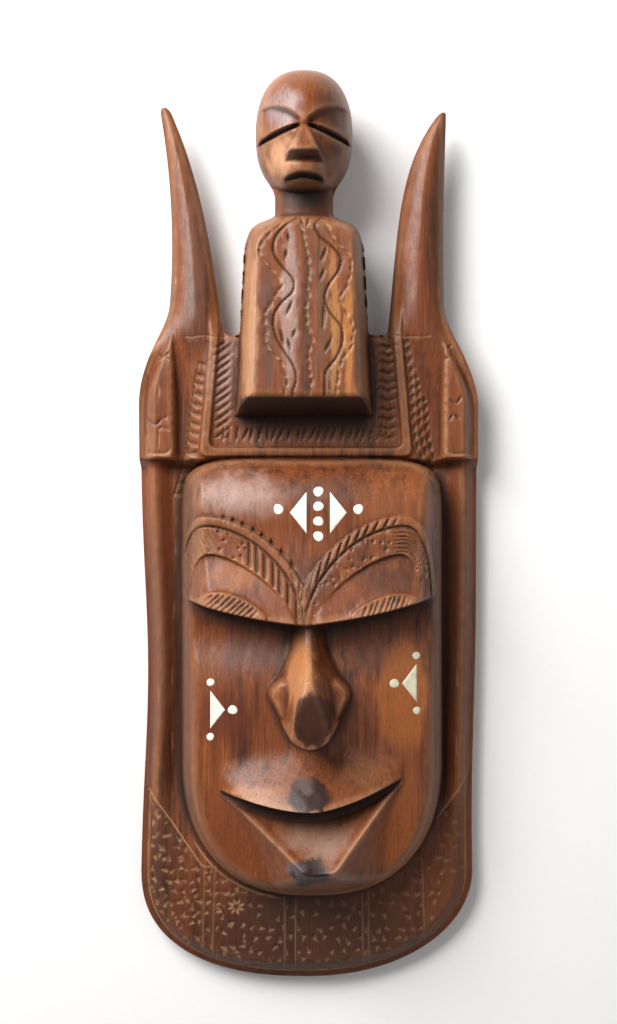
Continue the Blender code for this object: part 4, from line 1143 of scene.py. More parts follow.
    def chips(self, cuts: Cuts, where: Field, pitch: float, seed: float, bare: float, deep: float) -> None:
        """Scattered three-cornered nicks.

        Args:
            cuts: What is cut.
            where: 1 where the nicks are wanted.
            pitch: Their spacing.
            seed: Which scatter this is.
            bare: How pale the wood that they show is.
            deep: Their depth.
        """
        x, y = cuts.x, cuts.y
        row = np.floor(y / pitch)
        column = np.floor(x / pitch + 0.5 * np.mod(row, 2.0))
        cell = row * 61.0 + column
        middle_x = (column + 0.5 - 0.5 * np.mod(row, 2.0) + (chance(cell, seed) - 0.5) * 0.35) * pitch
        middle_y = (row + 0.5 + (chance(cell, seed + 1.0) - 0.5) * 0.35) * pitch
        turn = chance(cell, seed + 2.0) * 2.0 * math.pi
        along = (x - middle_x) * np.cos(turn) + (y - middle_y) * np.sin(turn)
        across = (y - middle_y) * np.cos(turn) - (x - middle_x) * np.sin(turn)
        size = (0.78 + 0.3 * chance(cell, seed + 3.0)) * (chance(cell, seed + 4.0) < 0.86)
        grown = np.maximum(size, 0.05)
        nick = tooth(along / grown, across / grown, (pitch * 0.76, pitch * 0.56, deep))
        cuts.press(nick * where * (size > 0.1), bare)

    def eyes(self, cuts: Cuts) -> Field:
        """The closed eyes: a raised leaf on each lid with slanting lashes.

        Args:
            cuts: What the lashes are cut into.

        Returns:
            How far the leaves stand up.
        """
        x, y = cuts.x, cuts.y
        raised = np.zeros_like(x)
        face = self.block.face
        above = ease(0.0, 0.0010, y - face.brow_foot(x))
        lashes = (((-59.5, -38.2), (-22.0, -45.6), 7.6, 0.36), ((22.0, -45.2), (56.5, -36.4), 5.2, 0.60))
        for start, end, crown, peak in lashes:
            long = math.hypot(end[0] - start[0], end[1] - start[1]) * MM
            turn_x = (end[0] - start[0]) * MM / long
            turn_y = (end[1] - start[1]) * MM / long
            along = ((x - start[0] * MM) * turn_x + (y - start[1] * MM) * turn_y) / long
            across = (y - start[1] * MM) * turn_x - (x - start[0] * MM) * turn_y
            side = np.clip(np.where(along < peak, along / peak, (1.0 - along) / (1.0 - peak)), 0.0, 1.0)
            top = crown * MM * (1.0 - (1.0 - side) ** 2) ** 0.8
            room = top - across
            within = ease(-0.0002, 0.0007, room) * (along > 0.0) * (along < 1.0) * above
            raised = np.maximum(raised, within * mix(0.0012, 0.0024, side))
            step, _ = repeat(along * long - 0.75 * across, 0.0031, 61.0 + peak)
            lash = line(step, 0.0017, 0.0013) * ease(0.0014, 0.0024, room)
            lash = lash * ease(0.10, 0.2, along) * ease(0.92, 0.8, along)
            cuts.press(lash * above * (within > 0.5), 0.20)
        return raised

    def field_edge(self, x: Field, y: Field) -> Field:
        """Distance below the two slanting lines that bound the chip-carved field, positive below them."""
        left = soft_max((-0.1511 - 1.416 * (x + 0.0840) - y) / 1.73, -0.1872 - y, 0.002)
        right = soft_max((-0.1384 - 1.461 * (0.0873 - x) - y) / 1.77, -0.1762 - y, 0.002)
        return np.where(x < 0.0, left, right)

    def chin_field(self, cuts: Cuts) -> None:
        """The field of small nicks round the chin, with its border, ruled lines and a flower."""
        x, y = cuts.x, cuts.y
        face = self.block.face
        edge = self.block.outline(x, y)
        below = self.field_edge(x, y)
        outside = face.inset(x, y) < -0.0012
        inside = outside * ease(0.0, 0.0012, below) * ease(0.0046, 0.0062, edge)
        cuts.press(line(below, 0.0013, 0.0006) * (edge > 0.003) * outside * (y < -0.125), 0.80)
        cuts.press(line(edge - 0.0040, 0.0012, 0.0006) * ease(0.0, 0.001, below), 0.80)
        hug = line(face.inset(x, y) + 0.0022, 0.0014, 0.0005)
        hug = hug * ease(-0.170, -0.180, y) * ease(-0.012, -0.022, x)
        cuts.press(hug, 0.8)
        ruled = np.zeros_like(x)
        for place, lean in self.ruled:
            away = x - place * MM - lean * (y + 0.21)
            ruled = np.maximum(ruled, line(away, 0.0009, 0.0004))
        cuts.press(ruled * inside * (y < -0.183), 0.55)
        clear = inside * ease(0.0006, 0.0012, self.ruled_gap(x, y))
        clear = clear * ease(0.0062, 0.0068, np.hypot(x + 0.0401, y + 0.2091))
        self.chips(cuts, clear, 0.0064, 73.0, 0.42, 0.0008)
        self.chips(cuts, clear * (x < -0.035), 0.0060, 79.0, 0.75, 0.0009)
        for number in range(8):
            turn = number * math.pi / 4.0 + 0.3
            start = (-40.1 + 1.0 * math.cos(turn), -209.1 + 1.0 * math.sin(turn))
            end = (-40.1 + 5.0 * math.cos(turn), -209.1 + 4.6 * math.sin(turn))
            cuts.strokes(((start, end),), 0.0019, 0.0009, 0.85)

    def ruled_gap(self, x: Field, y: Field) -> Field:
        """Distance from the nearest ruled line of the chin field."""
        gap = np.full_like(x, 1.0)
        for place, _ in self.ruled:
            gap = np.minimum(gap, np.abs(x - place * MM))
        return gap

    def side_marks(self, cuts: Cuts) -> None:
        """The long scratches down the board's sides, and the line round the face's foot."""
        x, y = cuts.x, cuts.y
        scratches = (
            (-74.5, 20.0, -150.0), (72.5, 15.0, -120.0), (-84.0, -60.0, -148.0), (83.0, -70.0, -135.0),
        )
        for place, top, foot in scratches:
            away = x - place * MM - 0.0012 * np.sin(y * 23.0 + place)
            broken = ease(0.1, 0.5, np.sin(y * 260.0 + place) * np.sin(y * 91.0))
            cuts.press(line(away, 0.0009, 0.0003) * broken * (y < top * MM) * (y > foot * MM), 0.45)

    def cut(self, x: Field, y: Field) -> tuple[Cuts, Field]:
        """Cuts all of the ornament.

        Args:
            x: Places across the mask.
            y: Places along the mask.

        Returns:
            The cuts, and how far the raised leaves stand up.
        """
        cuts = Cuts(x, y)
        raised = self.eyes(cuts)
        self.body(cuts)
        self.headband(cuts)
        self.bands(cuts)
        self.lobes(cuts)
        self.brows(cuts)
        self.chin_field(cuts)
        self.side_marks(cuts)
        return cuts, raised


@dataclass
class Surface:
    """The finished front of the mask: the block with its ornament."""

    block: Block
    ornament: Ornament
    spacing: float = 0.0008
    near_reach: float = 0.0022
    far_reach: float = 0.0110
    edge_level: float = 0.0100

    def height(self, x: Field, y: Field) -> Field:
        """Heights of the finished front."""
        cuts, raised = self.ornament.cut(x, y)
        return self.block.front(x, y) - cuts.depth + raised

    def grid(self) -> tuple[Field, Field]:
        """An even grid over the mask, wider than it all round."""
        half = max(self.block.plank.half_width) + 0.012
        across = np.arange(-half, half, self.spacing)
        along = np.arange(self.block.plank.end_y - 0.012, self.block.figure.head_top_y + 0.012, self.spacing)
        return across, along

    def blurred(self, heights: Field, reach: float) -> Field:
        """Heights averaged over a round patch.

        Args:
            heights: Heights on the even grid.
            reach: The patch's radius.

        Returns:
            The averaged heights.
        """
        steps = max(1, round(reach / self.spacing * 0.6))
        out = heights
        for _ in range(3):
            for axis in (0, 1):
                pad = [(0, 0), (0, 0)]
                pad[axis] = (steps + 1, steps)
                total = np.cumsum(np.pad(out, pad, mode="edge"), axis=axis)
                size = 2 * steps + 1
                if axis == 0:
                    out = (total[size:] - total[:-size]) / size
                else:
                    out = (total[:, size:] - total[:, :-size]) / size
        return out

    def grime_shade_and_polish(self, x: Field, y: Field) -> tuple[Field, Field]:
        """Where grime settles in hollows and painted shade darkens them, and where hands polish.

        Args:
            x: Places across the mask.
            y: Places along the mask.

        Returns:
            The share of grime and painted shade, and the share of polish.
        """
        across, along = self.grid()
        gx, gy = np.meshgrid(across, along)
        inside = self.block.outline(gx, gy) > 0.0
        heights = np.where(inside, self.height(gx, gy), self.edge_level)
        near = self.blurred(heights, self.near_reach) - heights
        far = self.blurred(heights, self.far_reach) - heights
        # Grime and painted shade where the surface lies below its near and far surroundings
        dirt = np.clip(near / 0.0011, 0.0, 1.0) * 0.55 + np.clip(far / 0.0090, 0.0, 1.0) * 0.45
        polish = np.clip(-near / 0.0009 - 0.15, 0.0, 1.0)
        column = np.clip((x - across[0]) / self.spacing, 0.0, len(across) - 1.001)
        row = np.clip((y - along[0]) / self.spacing, 0.0, len(along) - 1.001)
        i, j = row.astype(int), column.astype(int)
        fi, fj = row - i, column - j
        read = []
        for grid in (dirt, polish):
            low = mix(grid[i, j], grid[i, j + 1], fj)
            high = mix(grid[i + 1, j], grid[i + 1, j + 1], fj)
            read.append(np.clip(mix(low, high, fi), 0.0, 1.0))
        rim = ease(0.0004, 0.0030, self.block.outline(x, y))
        return read[0] * rim, read[1] * (0.3 + 0.7 * rim)


# Shaders


def srgb(red: int, green: int, blue: int) -> Colour:
    """A colour as it is seen on a screen, made linear."""
    seen = np.array((red, green, blue)) / 255.0
    made = np.where(seen <= 0.04045, seen / 12.92, ((seen + 0.055) / 1.055) ** 2.4)
    return tuple(float(part) for part in made)


class Value:
    """A number that varies over a surface, so that shader maths reads as an expression."""

    def __init__(self, graph: "Graph", socket: bpy.types.NodeSocket) -> None:
        """Wraps a socket of a graph."""
        self.graph = graph
        self.socket = socket

    def __add__(self, other: "Value | float") -> "Value":
        """Sum."""
        return self.graph.math("ADD", self, other)

    __radd__ = __add__

    def __sub__(self, other: "Value | float") -> "Value":
        """Difference."""
        return self.graph.math("SUBTRACT", self, other)

    def __rsub__(self, other: "Value | float") -> "Value":
        """Difference, with this value taken away."""
        return self.graph.math("SUBTRACT", other, self)

    def __mul__(self, other: "Value | float") -> "Value":
        """Product."""
        return self.graph.math("MULTIPLY", self, other)

    __rmul__ = __mul__

    def between(self, low: float, high: float) -> "Value":
        """0 up to low, 1 from high, with a smooth rise between."""
        settings = {"interpolation_type": "SMOOTHSTEP"}
        inputs = {"Value": self, "From Min": low, "From Max": high, "To Min": 0.0, "To Max": 1.0}
        return Value(self.graph, self.graph.node("ShaderNodeMapRange", settings, inputs).outputs["Result"])


class Graph:
    """The nodes of one material."""

    def __init__(self, name: str) -> None:
        """Starts a material with a plain Principled shader."""
        self.material = bpy.data.materials.new(name)
        self.material.use_nodes = True
        self.tree = self.material.node_tree
        self.shader = self.tree.nodes["Principled BSDF"]
        self.place = self.node("ShaderNodeTexCoord", {}, {}).outputs["Object"]

    def node(self, kind: str, settings: dict, inputs: dict) -> bpy.types.Node:
        """Adds a node.

        Args:
            kind: The node's type.
            settings: Its properties, set first.
            inputs: Values or links of its sockets, by name or number.

        Returns:
            The node.
        """
        made = self.tree.nodes.new(kind)
        for name, value in settings.items():
            setattr(made, name, value)
        for name, value in inputs.items():
            self.join(made.inputs[name], value)
        return made

    def join(self, socket: bpy.types.NodeSocket, value: object) -> None:
        """Links a value to a socket, or sets the socket to a constant."""
        if isinstance(value, Value):
            value = value.socket
        if isinstance(value, bpy.types.NodeSocket):
            self.tree.links.new(value, socket)
        elif isinstance(value, tuple) and len(value) == 3 and socket.type == "RGBA":
            socket.default_value = (*value, 1.0)
        else:
            socket.default_value = value

    def math(self, operation: str, first: object, second: object) -> Value:
        """A Math node on two numbers."""
        made = self.node("ShaderNodeMath", {"operation": operation}, {0: first, 1: second})
        return Value(self, made.outputs[0])

    def blend(self, first: object, second: object, share: object, way: str = "MIX") -> bpy.types.NodeSocket:
        """Two colours mixed.

        Args:
            first: The colour at share 0.
            second: The colour at share 1.
            share: The blend.
            way: How they are combined.

        Returns:
            The mixed colour's socket.
        """
        settings = {"data_type": "RGBA", "blend_type": way}
        return self.node("ShaderNodeMix", settings, {0: share, 6: first, 7: second}).outputs[2]

    def stretched(self, across: float, along: float, turn: float = 0.0) -> bpy.types.NodeSocket:
        """Object coordinates in steps of a length across the grain and another along it.

        Args:
            across: The step across the grain.
            along: The step along the grain, which runs along Y.
            turn: How far the grain leans.

        Returns:
            The coordinates' socket.
        """
        scale = (1.0 / across, 1.0 / along, 1.0 / across)
        inputs = {"Vector": self.place, "Rotation": (0.0, 0.0, turn), "Scale": scale}
        return self.node("ShaderNodeMapping", {"vector_type": "POINT"}, inputs).outputs[0]

    def noise(
        self, place: bpy.types.NodeSocket, detail: float = 3.0, rough: float = 0.55, bend: float = 0.0
    ) -> Value:
        """Soft noise from 0 to 1.

        Args:
            place: Coordinates, one unit to a lump.
            detail: How many finer layers it has.
            rough: How strong they are.
            bend: How far it is distorted.

        Returns:
            The noise.
        """
        inputs = {"Vector": place, "Scale": 1.0, "Detail": detail, "Roughness": rough, "Distortion": bend}
        return Value(self, self.node("ShaderNodeTexNoise", {"noise_dimensions": "3D"}, inputs).outputs[0])

    def painted(self, name: str) -> Value:
        """A share painted on the mesh's points."""
        made = self.node("ShaderNodeAttribute", {"attribute_type": "GEOMETRY", "attribute_name": name}, {})
        return Value(self, made.outputs["Fac"])

    def wandering(self, size: float, reach: float) -> bpy.types.NodeSocket:
        """Object coordinates shifted about by a soft noise.

        Args:
            size: Size of the noise's lumps.
            reach: How far it shifts a place.

        Returns:
            The coordinates' socket.
        """
        inputs = {"Vector": self.stretched(size, size * 2.0), "Scale": 1.0, "Detail": 3.0, "Roughness": 0.6}
        colour = self.node("ShaderNodeTexNoise", {"noise_dimensions": "3D"}, inputs).outputs["Color"]
        from_grey = {0: colour, 1: (0.5, 0.5, 0.5)}
        way = self.node("ShaderNodeVectorMath", {"operation": "SUBTRACT"}, from_grey).outputs[0]
        step = (reach * 2.0, reach * 4.0, 0.0)
        inputs = {0: way, 1: step, 2: self.place}
        return self.node("ShaderNodeVectorMath", {"operation": "MULTIPLY_ADD"}, inputs).outputs[0]

    def patch(self, place: bpy.types.NodeSocket, centre: Pair, reach: Pair, soft: float) -> Value:
        """An oval patch.

        Args:
            place: The coordinates that it is drawn on.
            centre: Its middle, in millimetres.
            reach: How far it goes across and along, in millimetres.
            soft: How much of it is fade, from 0 to 1.

        Returns:
            1 inside the patch, 0 outside it.
        """
        inputs = {0: place, 1: (centre[0] * MM, centre[1] * MM, 0.0)}
        moved = self.node("ShaderNodeVectorMath", {"operation": "SUBTRACT"}, inputs).outputs[0]
        scale = (1.0 / (reach[0] * MM), 1.0 / (reach[1] * MM), 0.0)
        scaled = self.node("ShaderNodeVectorMath", {"operation": "MULTIPLY"}, {0: moved, 1: scale}).outputs[0]
        far = self.node("ShaderNodeVectorMath", {"operation": "LENGTH"}, {0: scaled}).outputs["Value"]
        return 1.0 - Value(self, far).between(1.0 - soft, 1.0)

    def finish(self, colour: object, rough: object, height: Value, deep: float) -> bpy.types.Material:
        """Joins colour, roughness and relief to the shader.

        Args:
            colour: The base colour.
            rough: The roughness.
            height: The relief, from 0 to 1.
            deep: What one unit of relief is, in metres.

        Returns:
            The material.
        """
        relief = self.node("ShaderNodeBump", {}, {"Strength": 1.0, "Distance": deep, "Height": height})
        self.join(self.shader.inputs["Base Color"], colour)
        self.join(self.shader.inputs["Roughness"], rough)
        self.join(self.shader.inputs["Normal"], relief.outputs[0])
        return self.material


@dataclass(frozen=True)
class Tint:
    """A patch of the mask painted another colour; most are the wood's own tones, some are painted sheen,
    light or shade.
    """

    centre: Pair
    reach: Pair
    colour: Colour
    share: float
    soft: float = 0.9


@dataclass(frozen=True)
class VarnishedWood:
    """Straight-grained reddish wood under a satin varnish, with grime and painted shade in its recesses,
    patches of painted sheen and shade, and raw wood in its cuts.
    """

    name: str = "varnished_wood"
    body: Colour = srgb(120, 62, 28)
    dark: Colour = srgb(56, 28, 17)
    light: Colour = srgb(166, 98, 46)
    # Colour of grime and of painted shade
    dirt: Colour = srgb(34, 17, 11)
    raw: Colour = srgb(186, 138, 98)
    worn: Colour = srgb(190, 140, 100)
    rough: float = 0.41
    coat: float = 0.08
    coat_rough: float = 0.32
    gloss: float = 0.34
    tints: tuple[Tint, ...] = (
        Tint((0.0, -225.0), (110.0, 52.0), srgb(66, 38, 26), 0.80),
        Tint((-84.0, -60.0), (16.0, 120.0), srgb(84, 44, 34), 0.60),
        Tint((84.0, -60.0), (16.0, 130.0), srgb(74, 42, 29), 0.65),
        Tint((50.0, -88.0), (17.0, 38.0), srgb(150, 84, 34), 0.75, 0.45),
        Tint((40.0, -160.0), (45.0, 40.0), srgb(136, 74, 34), 0.60),
        Tint((45.0, 12.0), (34.0, 30.0), srgb(150, 86, 42), 0.55),
        Tint((-38.0, -158.0), (40.0, 32.0), srgb(118, 62, 36), 0.55),
        Tint((-30.0, -140.0), (24.0, 11.0), srgb(176, 120, 78), 0.55),
        Tint((30.0, -128.0), (24.0, 12.0), srgb(150, 96, 56), 0.45),
        Tint((2.0, -25.0), (22.0, 22.0), srgb(84, 44, 27), 0.75),
        Tint((-30.0, -66.0), (34.0, 16.0), srgb(84, 54, 46), 0.60),
        Tint((32.0, -68.0), (22.0, 16.0), srgb(84, 50, 34), 0.55),
        Tint((-44.0, -100.0), (26.0, 24.0), srgb(92, 42, 24), 0.75),
        Tint((8.0, 22.0), (34.0, 13.0), srgb(96, 62, 48), 0.60),
        # Painted sheen on the forehead's upper left
        Tint((-36.0, 19.0), (38.0, 22.0), srgb(176, 148, 138), 0.56, 1.0),
        Tint((-38.0, -24.0), (26.0, 13.0), srgb(160, 96, 50), 0.60),
        Tint((42.0, -26.0), (26.0, 13.0), srgb(84, 46, 27), 0.75),
        Tint((-5.0, -72.0), (10.0, 28.0), srgb(190, 128, 82), 0.72, 0.7),
        # Painted sheen on the top of the lower lip
        Tint((3.0, -162.0), (27.0, 15.0), srgb(140, 108, 88), 0.70, 0.8),
        Tint((-74.0, -66.0), (4.0, 110.0), srgb(104, 60, 40), 0.60),
        # A pale stripe of the wood with painted sheen on the torso's left flank
        Tint((-31.0, 108.0), (6.5, 62.0), srgb(184, 138, 102), 0.60, 0.6),
        Tint((-21.5, 104.0), (5.0, 54.0), srgb(84, 58, 50), 0.65, 0.7),
        # Painted sheen down the torso's middle
        Tint((-10.0, 120.0), (7.0, 62.0), srgb(166, 138, 128), 0.72, 0.7),
        Tint((-1.0, 118.0), (3.5, 60.0), srgb(84, 54, 38), 0.60, 0.7),
        Tint((7.0, 120.0), (4.5, 60.0), srgb(100, 70, 46), 0.60, 0.7),
        Tint((14.0, 108.0), (4.0, 60.0), srgb(172, 120, 66), 0.65, 0.7),
        Tint((21.0, 96.0), (4.5, 46.0), srgb(182, 118, 58), 0.70, 0.7),
        # Darker stripes of the wood and painted shade down the torso's right flank
        Tint((27.5, 118.0), (5.0, 64.0), srgb(66, 38, 24), 0.80, 0.6),
        Tint((33.0, 110.0), (4.0, 64.0), srgb(84, 50, 32), 0.80, 0.6),
        # Greyish painted sheen on the left of the head's brow
        Tint((-14.0, 222.0), (14.0, 17.0), srgb(146, 126, 126), 0.80),
        # Painted light on the head's left cheek
        Tint((-14.0, 196.0), (14.0, 16.0), srgb(206, 154, 118), 0.75),
        # Painted shade down the head's right side
        Tint((17.0, 208.0), (17.0, 40.0), srgb(76, 42, 26), 0.85),
        # Painted shadow of the head on the neck
        Tint((-2.0, 181.0), (20.0, 12.0), srgb(34, 19, 14), 0.90),
        Tint((-62.0, 150.0), (12.0, 90.0), srgb(112, 76, 64), 0.60),
        # Painted shade on the right horn's outer side
        Tint((71.0, 160.0), (7.0, 90.0), srgb(62, 37, 25), 0.80),
        Tint((-76.5, 150.0), (4.5, 80.0), srgb(88, 60, 50), 0.60),
        Tint((-48.0, 84.0), (13.0, 34.0), srgb(146, 116, 104), 0.60),
        Tint((46.0, 84.0), (10.0, 30.0), srgb(86, 54, 40), 0.50),
    )
    stains_and_highlights: tuple[Tint, ...] = (
        Tint((2.6, -97.0), (12.5, 17.0), srgb(54, 27, 19), 0.92, 0.35),
        Tint((0.4, -139.5), (16.0, 10.5), srgb(44, 21, 16), 1.0, 0.55),
        # Painted highlight on the lip's stain
        Tint((-2.0, -134.5), (7.5, 5.0), srgb(118, 98, 94), 0.42, 0.90),
        Tint((1.0, -180.5), (15.0, 10.5), srgb(40, 20, 19), 1.0, 0.55),
        # Painted highlight on the chin's stain
        Tint((-7.0, -177.0), (10.0, 6.0), srgb(112, 98, 104), 0.50, 0.90),
    )

    def build(self) -> bpy.types.Material:
        """Builds the material.

        Returns:
            The material.
        """
        graph = Graph(self.name)
        broad = graph.noise(graph.stretched(0.030, 0.110), 2.0, 0.5, 0.4)
        figure = graph.noise(graph.stretched(0.0042, 0.090), 4.0, 0.6, 0.3)
        streak = graph.noise(graph.stretched(0.0011, 0.034), 3.0, 0.6)
        pores = graph.noise(graph.stretched(0.00042, 0.0065), 2.0, 0.6)
        mottle = graph.noise(graph.stretched(0.0035, 0.0050), 3.0, 0.6)
        loose = graph.wandering(0.009, 0.0050)
        tight = graph.wandering(0.007, 0.0035)
        colour = graph.blend(self.dark, self.body, (broad * 0.45 + figure * 0.75).between(0.38, 0.66))
        colour = graph.blend(colour, self.light, streak.between(0.52, 0.80) * 0.50)
        # Patches of the wood's own tones, among them painted sheen, light and shade
        for tint in self.tints:
            inside = graph.patch(loose, tint.centre, tint.reach, tint.soft)
            share = (inside * (figure * 0.9 + mottle * 0.5 + 0.3)).between(0.05, 0.95) * tint.share
            colour = graph.blend(colour, tint.colour, share)
        colour = graph.blend(colour, self.dark, pores.between(0.58, 0.74) * 0.60)
        dark_part = (1.0 - streak).between(0.52, 0.72) * figure.between(0.35, 0.6) * 0.50
        colour = graph.blend(colour, self.dark, dark_part)
        light_part = streak.between(0.60, 0.78) * figure.between(0.50, 0.66) * 0.35
        colour = graph.blend(colour, self.light, light_part)
        dirt = graph.painted("dirt")
        polish = graph.painted("polish")
        fresh = graph.painted("fresh")
        cut = graph.painted("cut")
        shade = graph.painted("shade")
        # Grime and painted shade in the hollows
        colour = graph.blend(colour, self.dirt, (dirt * (mottle * 0.5 + 0.75)).between(0.08, 1.0) * 0.72)
        # Grime and painted shade in the deeper cuts, where no raw wood shows
        colour = graph.blend(colour, self.dirt, cut.between(0.10, 0.75) * (1.0 - fresh) * 0.80)
        colour = graph.blend(colour, self.worn, polish * (mottle * 0.9 + 0.15) * 0.48)
        colour = graph.blend(colour, self.raw, fresh * (mottle * 0.7 + 0.5) * (1.0 - dirt * 0.35))
        # Stains, and painted highlights on the lip's and chin's stains
        for dab in self.stains_and_highlights:
            inside = graph.patch(tight, dab.centre, dab.reach, dab.soft)
            ragged = (inside + (mottle - 0.5) * 0.35 * inside).between(0.10, 0.90)
            colour = graph.blend(colour, dab.colour, ragged * dab.share)
        # Painted shade from the shade layer, with the chin field's own dark ground
        colour = graph.blend(colour, self.dirt, shade * 0.92)
        rough = (mottle - 0.5) * 0.16 + (streak - 0.5) * 0.08 + dirt * 0.20
        rough = rough + fresh * 0.34 + shade * 0.25 + self.rough
        relief = figure * 0.25 + streak * 0.35 - pores.between(0.58, 0.72) * 0.30 + mottle * 0.15
        graph.shader.inputs["Specular IOR Level"].default_value = self.gloss
        graph.shader.inputs["Coat Weight"].default_value = self.coat
        graph.shader.inputs["Coat Roughness"].default_value = self.coat_rough
        return graph.finish(colour, rough, relief, 0.00018)


@dataclass(frozen=True)
class Bone:
    """Polished bone or shell, set in the wood and rubbed flush."""

    name: str
    body: Colour
    shade: Colour
    rough: float = 0.34

    def build(self) -> bpy.types.Material:
        """Builds the material.

        Returns:
            The material.
        """
        graph = Graph(self.name)
        cloud = graph.noise(graph.stretched(0.0030, 0.0040), 3.0, 0.6)
        grain = graph.noise(graph.stretched(0.0004, 0.0030), 2.0, 0.6)
        colour = graph.blend(self.body, self.shade, cloud.between(0.45, 0.75) * 0.55)
        colour = graph.blend(colour, self.shade, grain.between(0.62, 0.80) * 0.35)
        rough = (cloud - 0.5) * 0.15 + self.rough
        graph.shader.inputs["Coat Weight"].default_value = 0.25
        graph.shader.inputs["Coat Roughness"].default_value = 0.2
        return graph.finish(colour, rough, grain * 0.6 + cloud * 0.4, 0.00005)


@dataclass(frozen=True)
class Paper:
    """The pale floor."""

    name: str = "pale_floor"
    body: Colour = (0.86, 0.86, 0.86)

    def build(self) -> bpy.types.Material:
        """Builds the material.

        Returns:
            The material.
        """
        graph = Graph(self.name)
        tooth_marks = graph.noise(graph.stretched(0.004, 0.004), 3.0, 0.6)
        colour = graph.blend(self.body, (0.83, 0.83, 0.83), tooth_marks.between(0.4, 0.7) * 0.3)
        return graph.finish(colour, tooth_marks * 0.1 + 0.75, tooth_marks, 0.00002)


# Pieces


def deselect() -> None:
    """Leaves nothing selected."""
    if bpy.context.object and bpy.context.object.mode != "OBJECT":
        bpy.ops.object.mode_set(mode="OBJECT")
    bpy.ops.object.select_all(action="DESELECT")


def take(piece: bpy.types.Object) -> None:
    """Makes a piece the only selected and the active one."""
    deselect()
    piece.select_set(True)
    bpy.context.view_layer.objects.active = piece


def points_of(piece: bpy.types.Object) -> Field:
    """The places of a piece's points."""
    flat = np.empty(len(piece.data.vertices) * 3, np.float32)
    piece.data.vertices.foreach_get("co", flat)
    return flat.reshape(-1, 3).astype(float)


def put_points(piece: bpy.types.Object, places: Field) -> None:
    """Moves a piece's points to new places."""
    piece.data.vertices.foreach_set("co", places.astype(np.float32).ravel())
    piece.data.update()


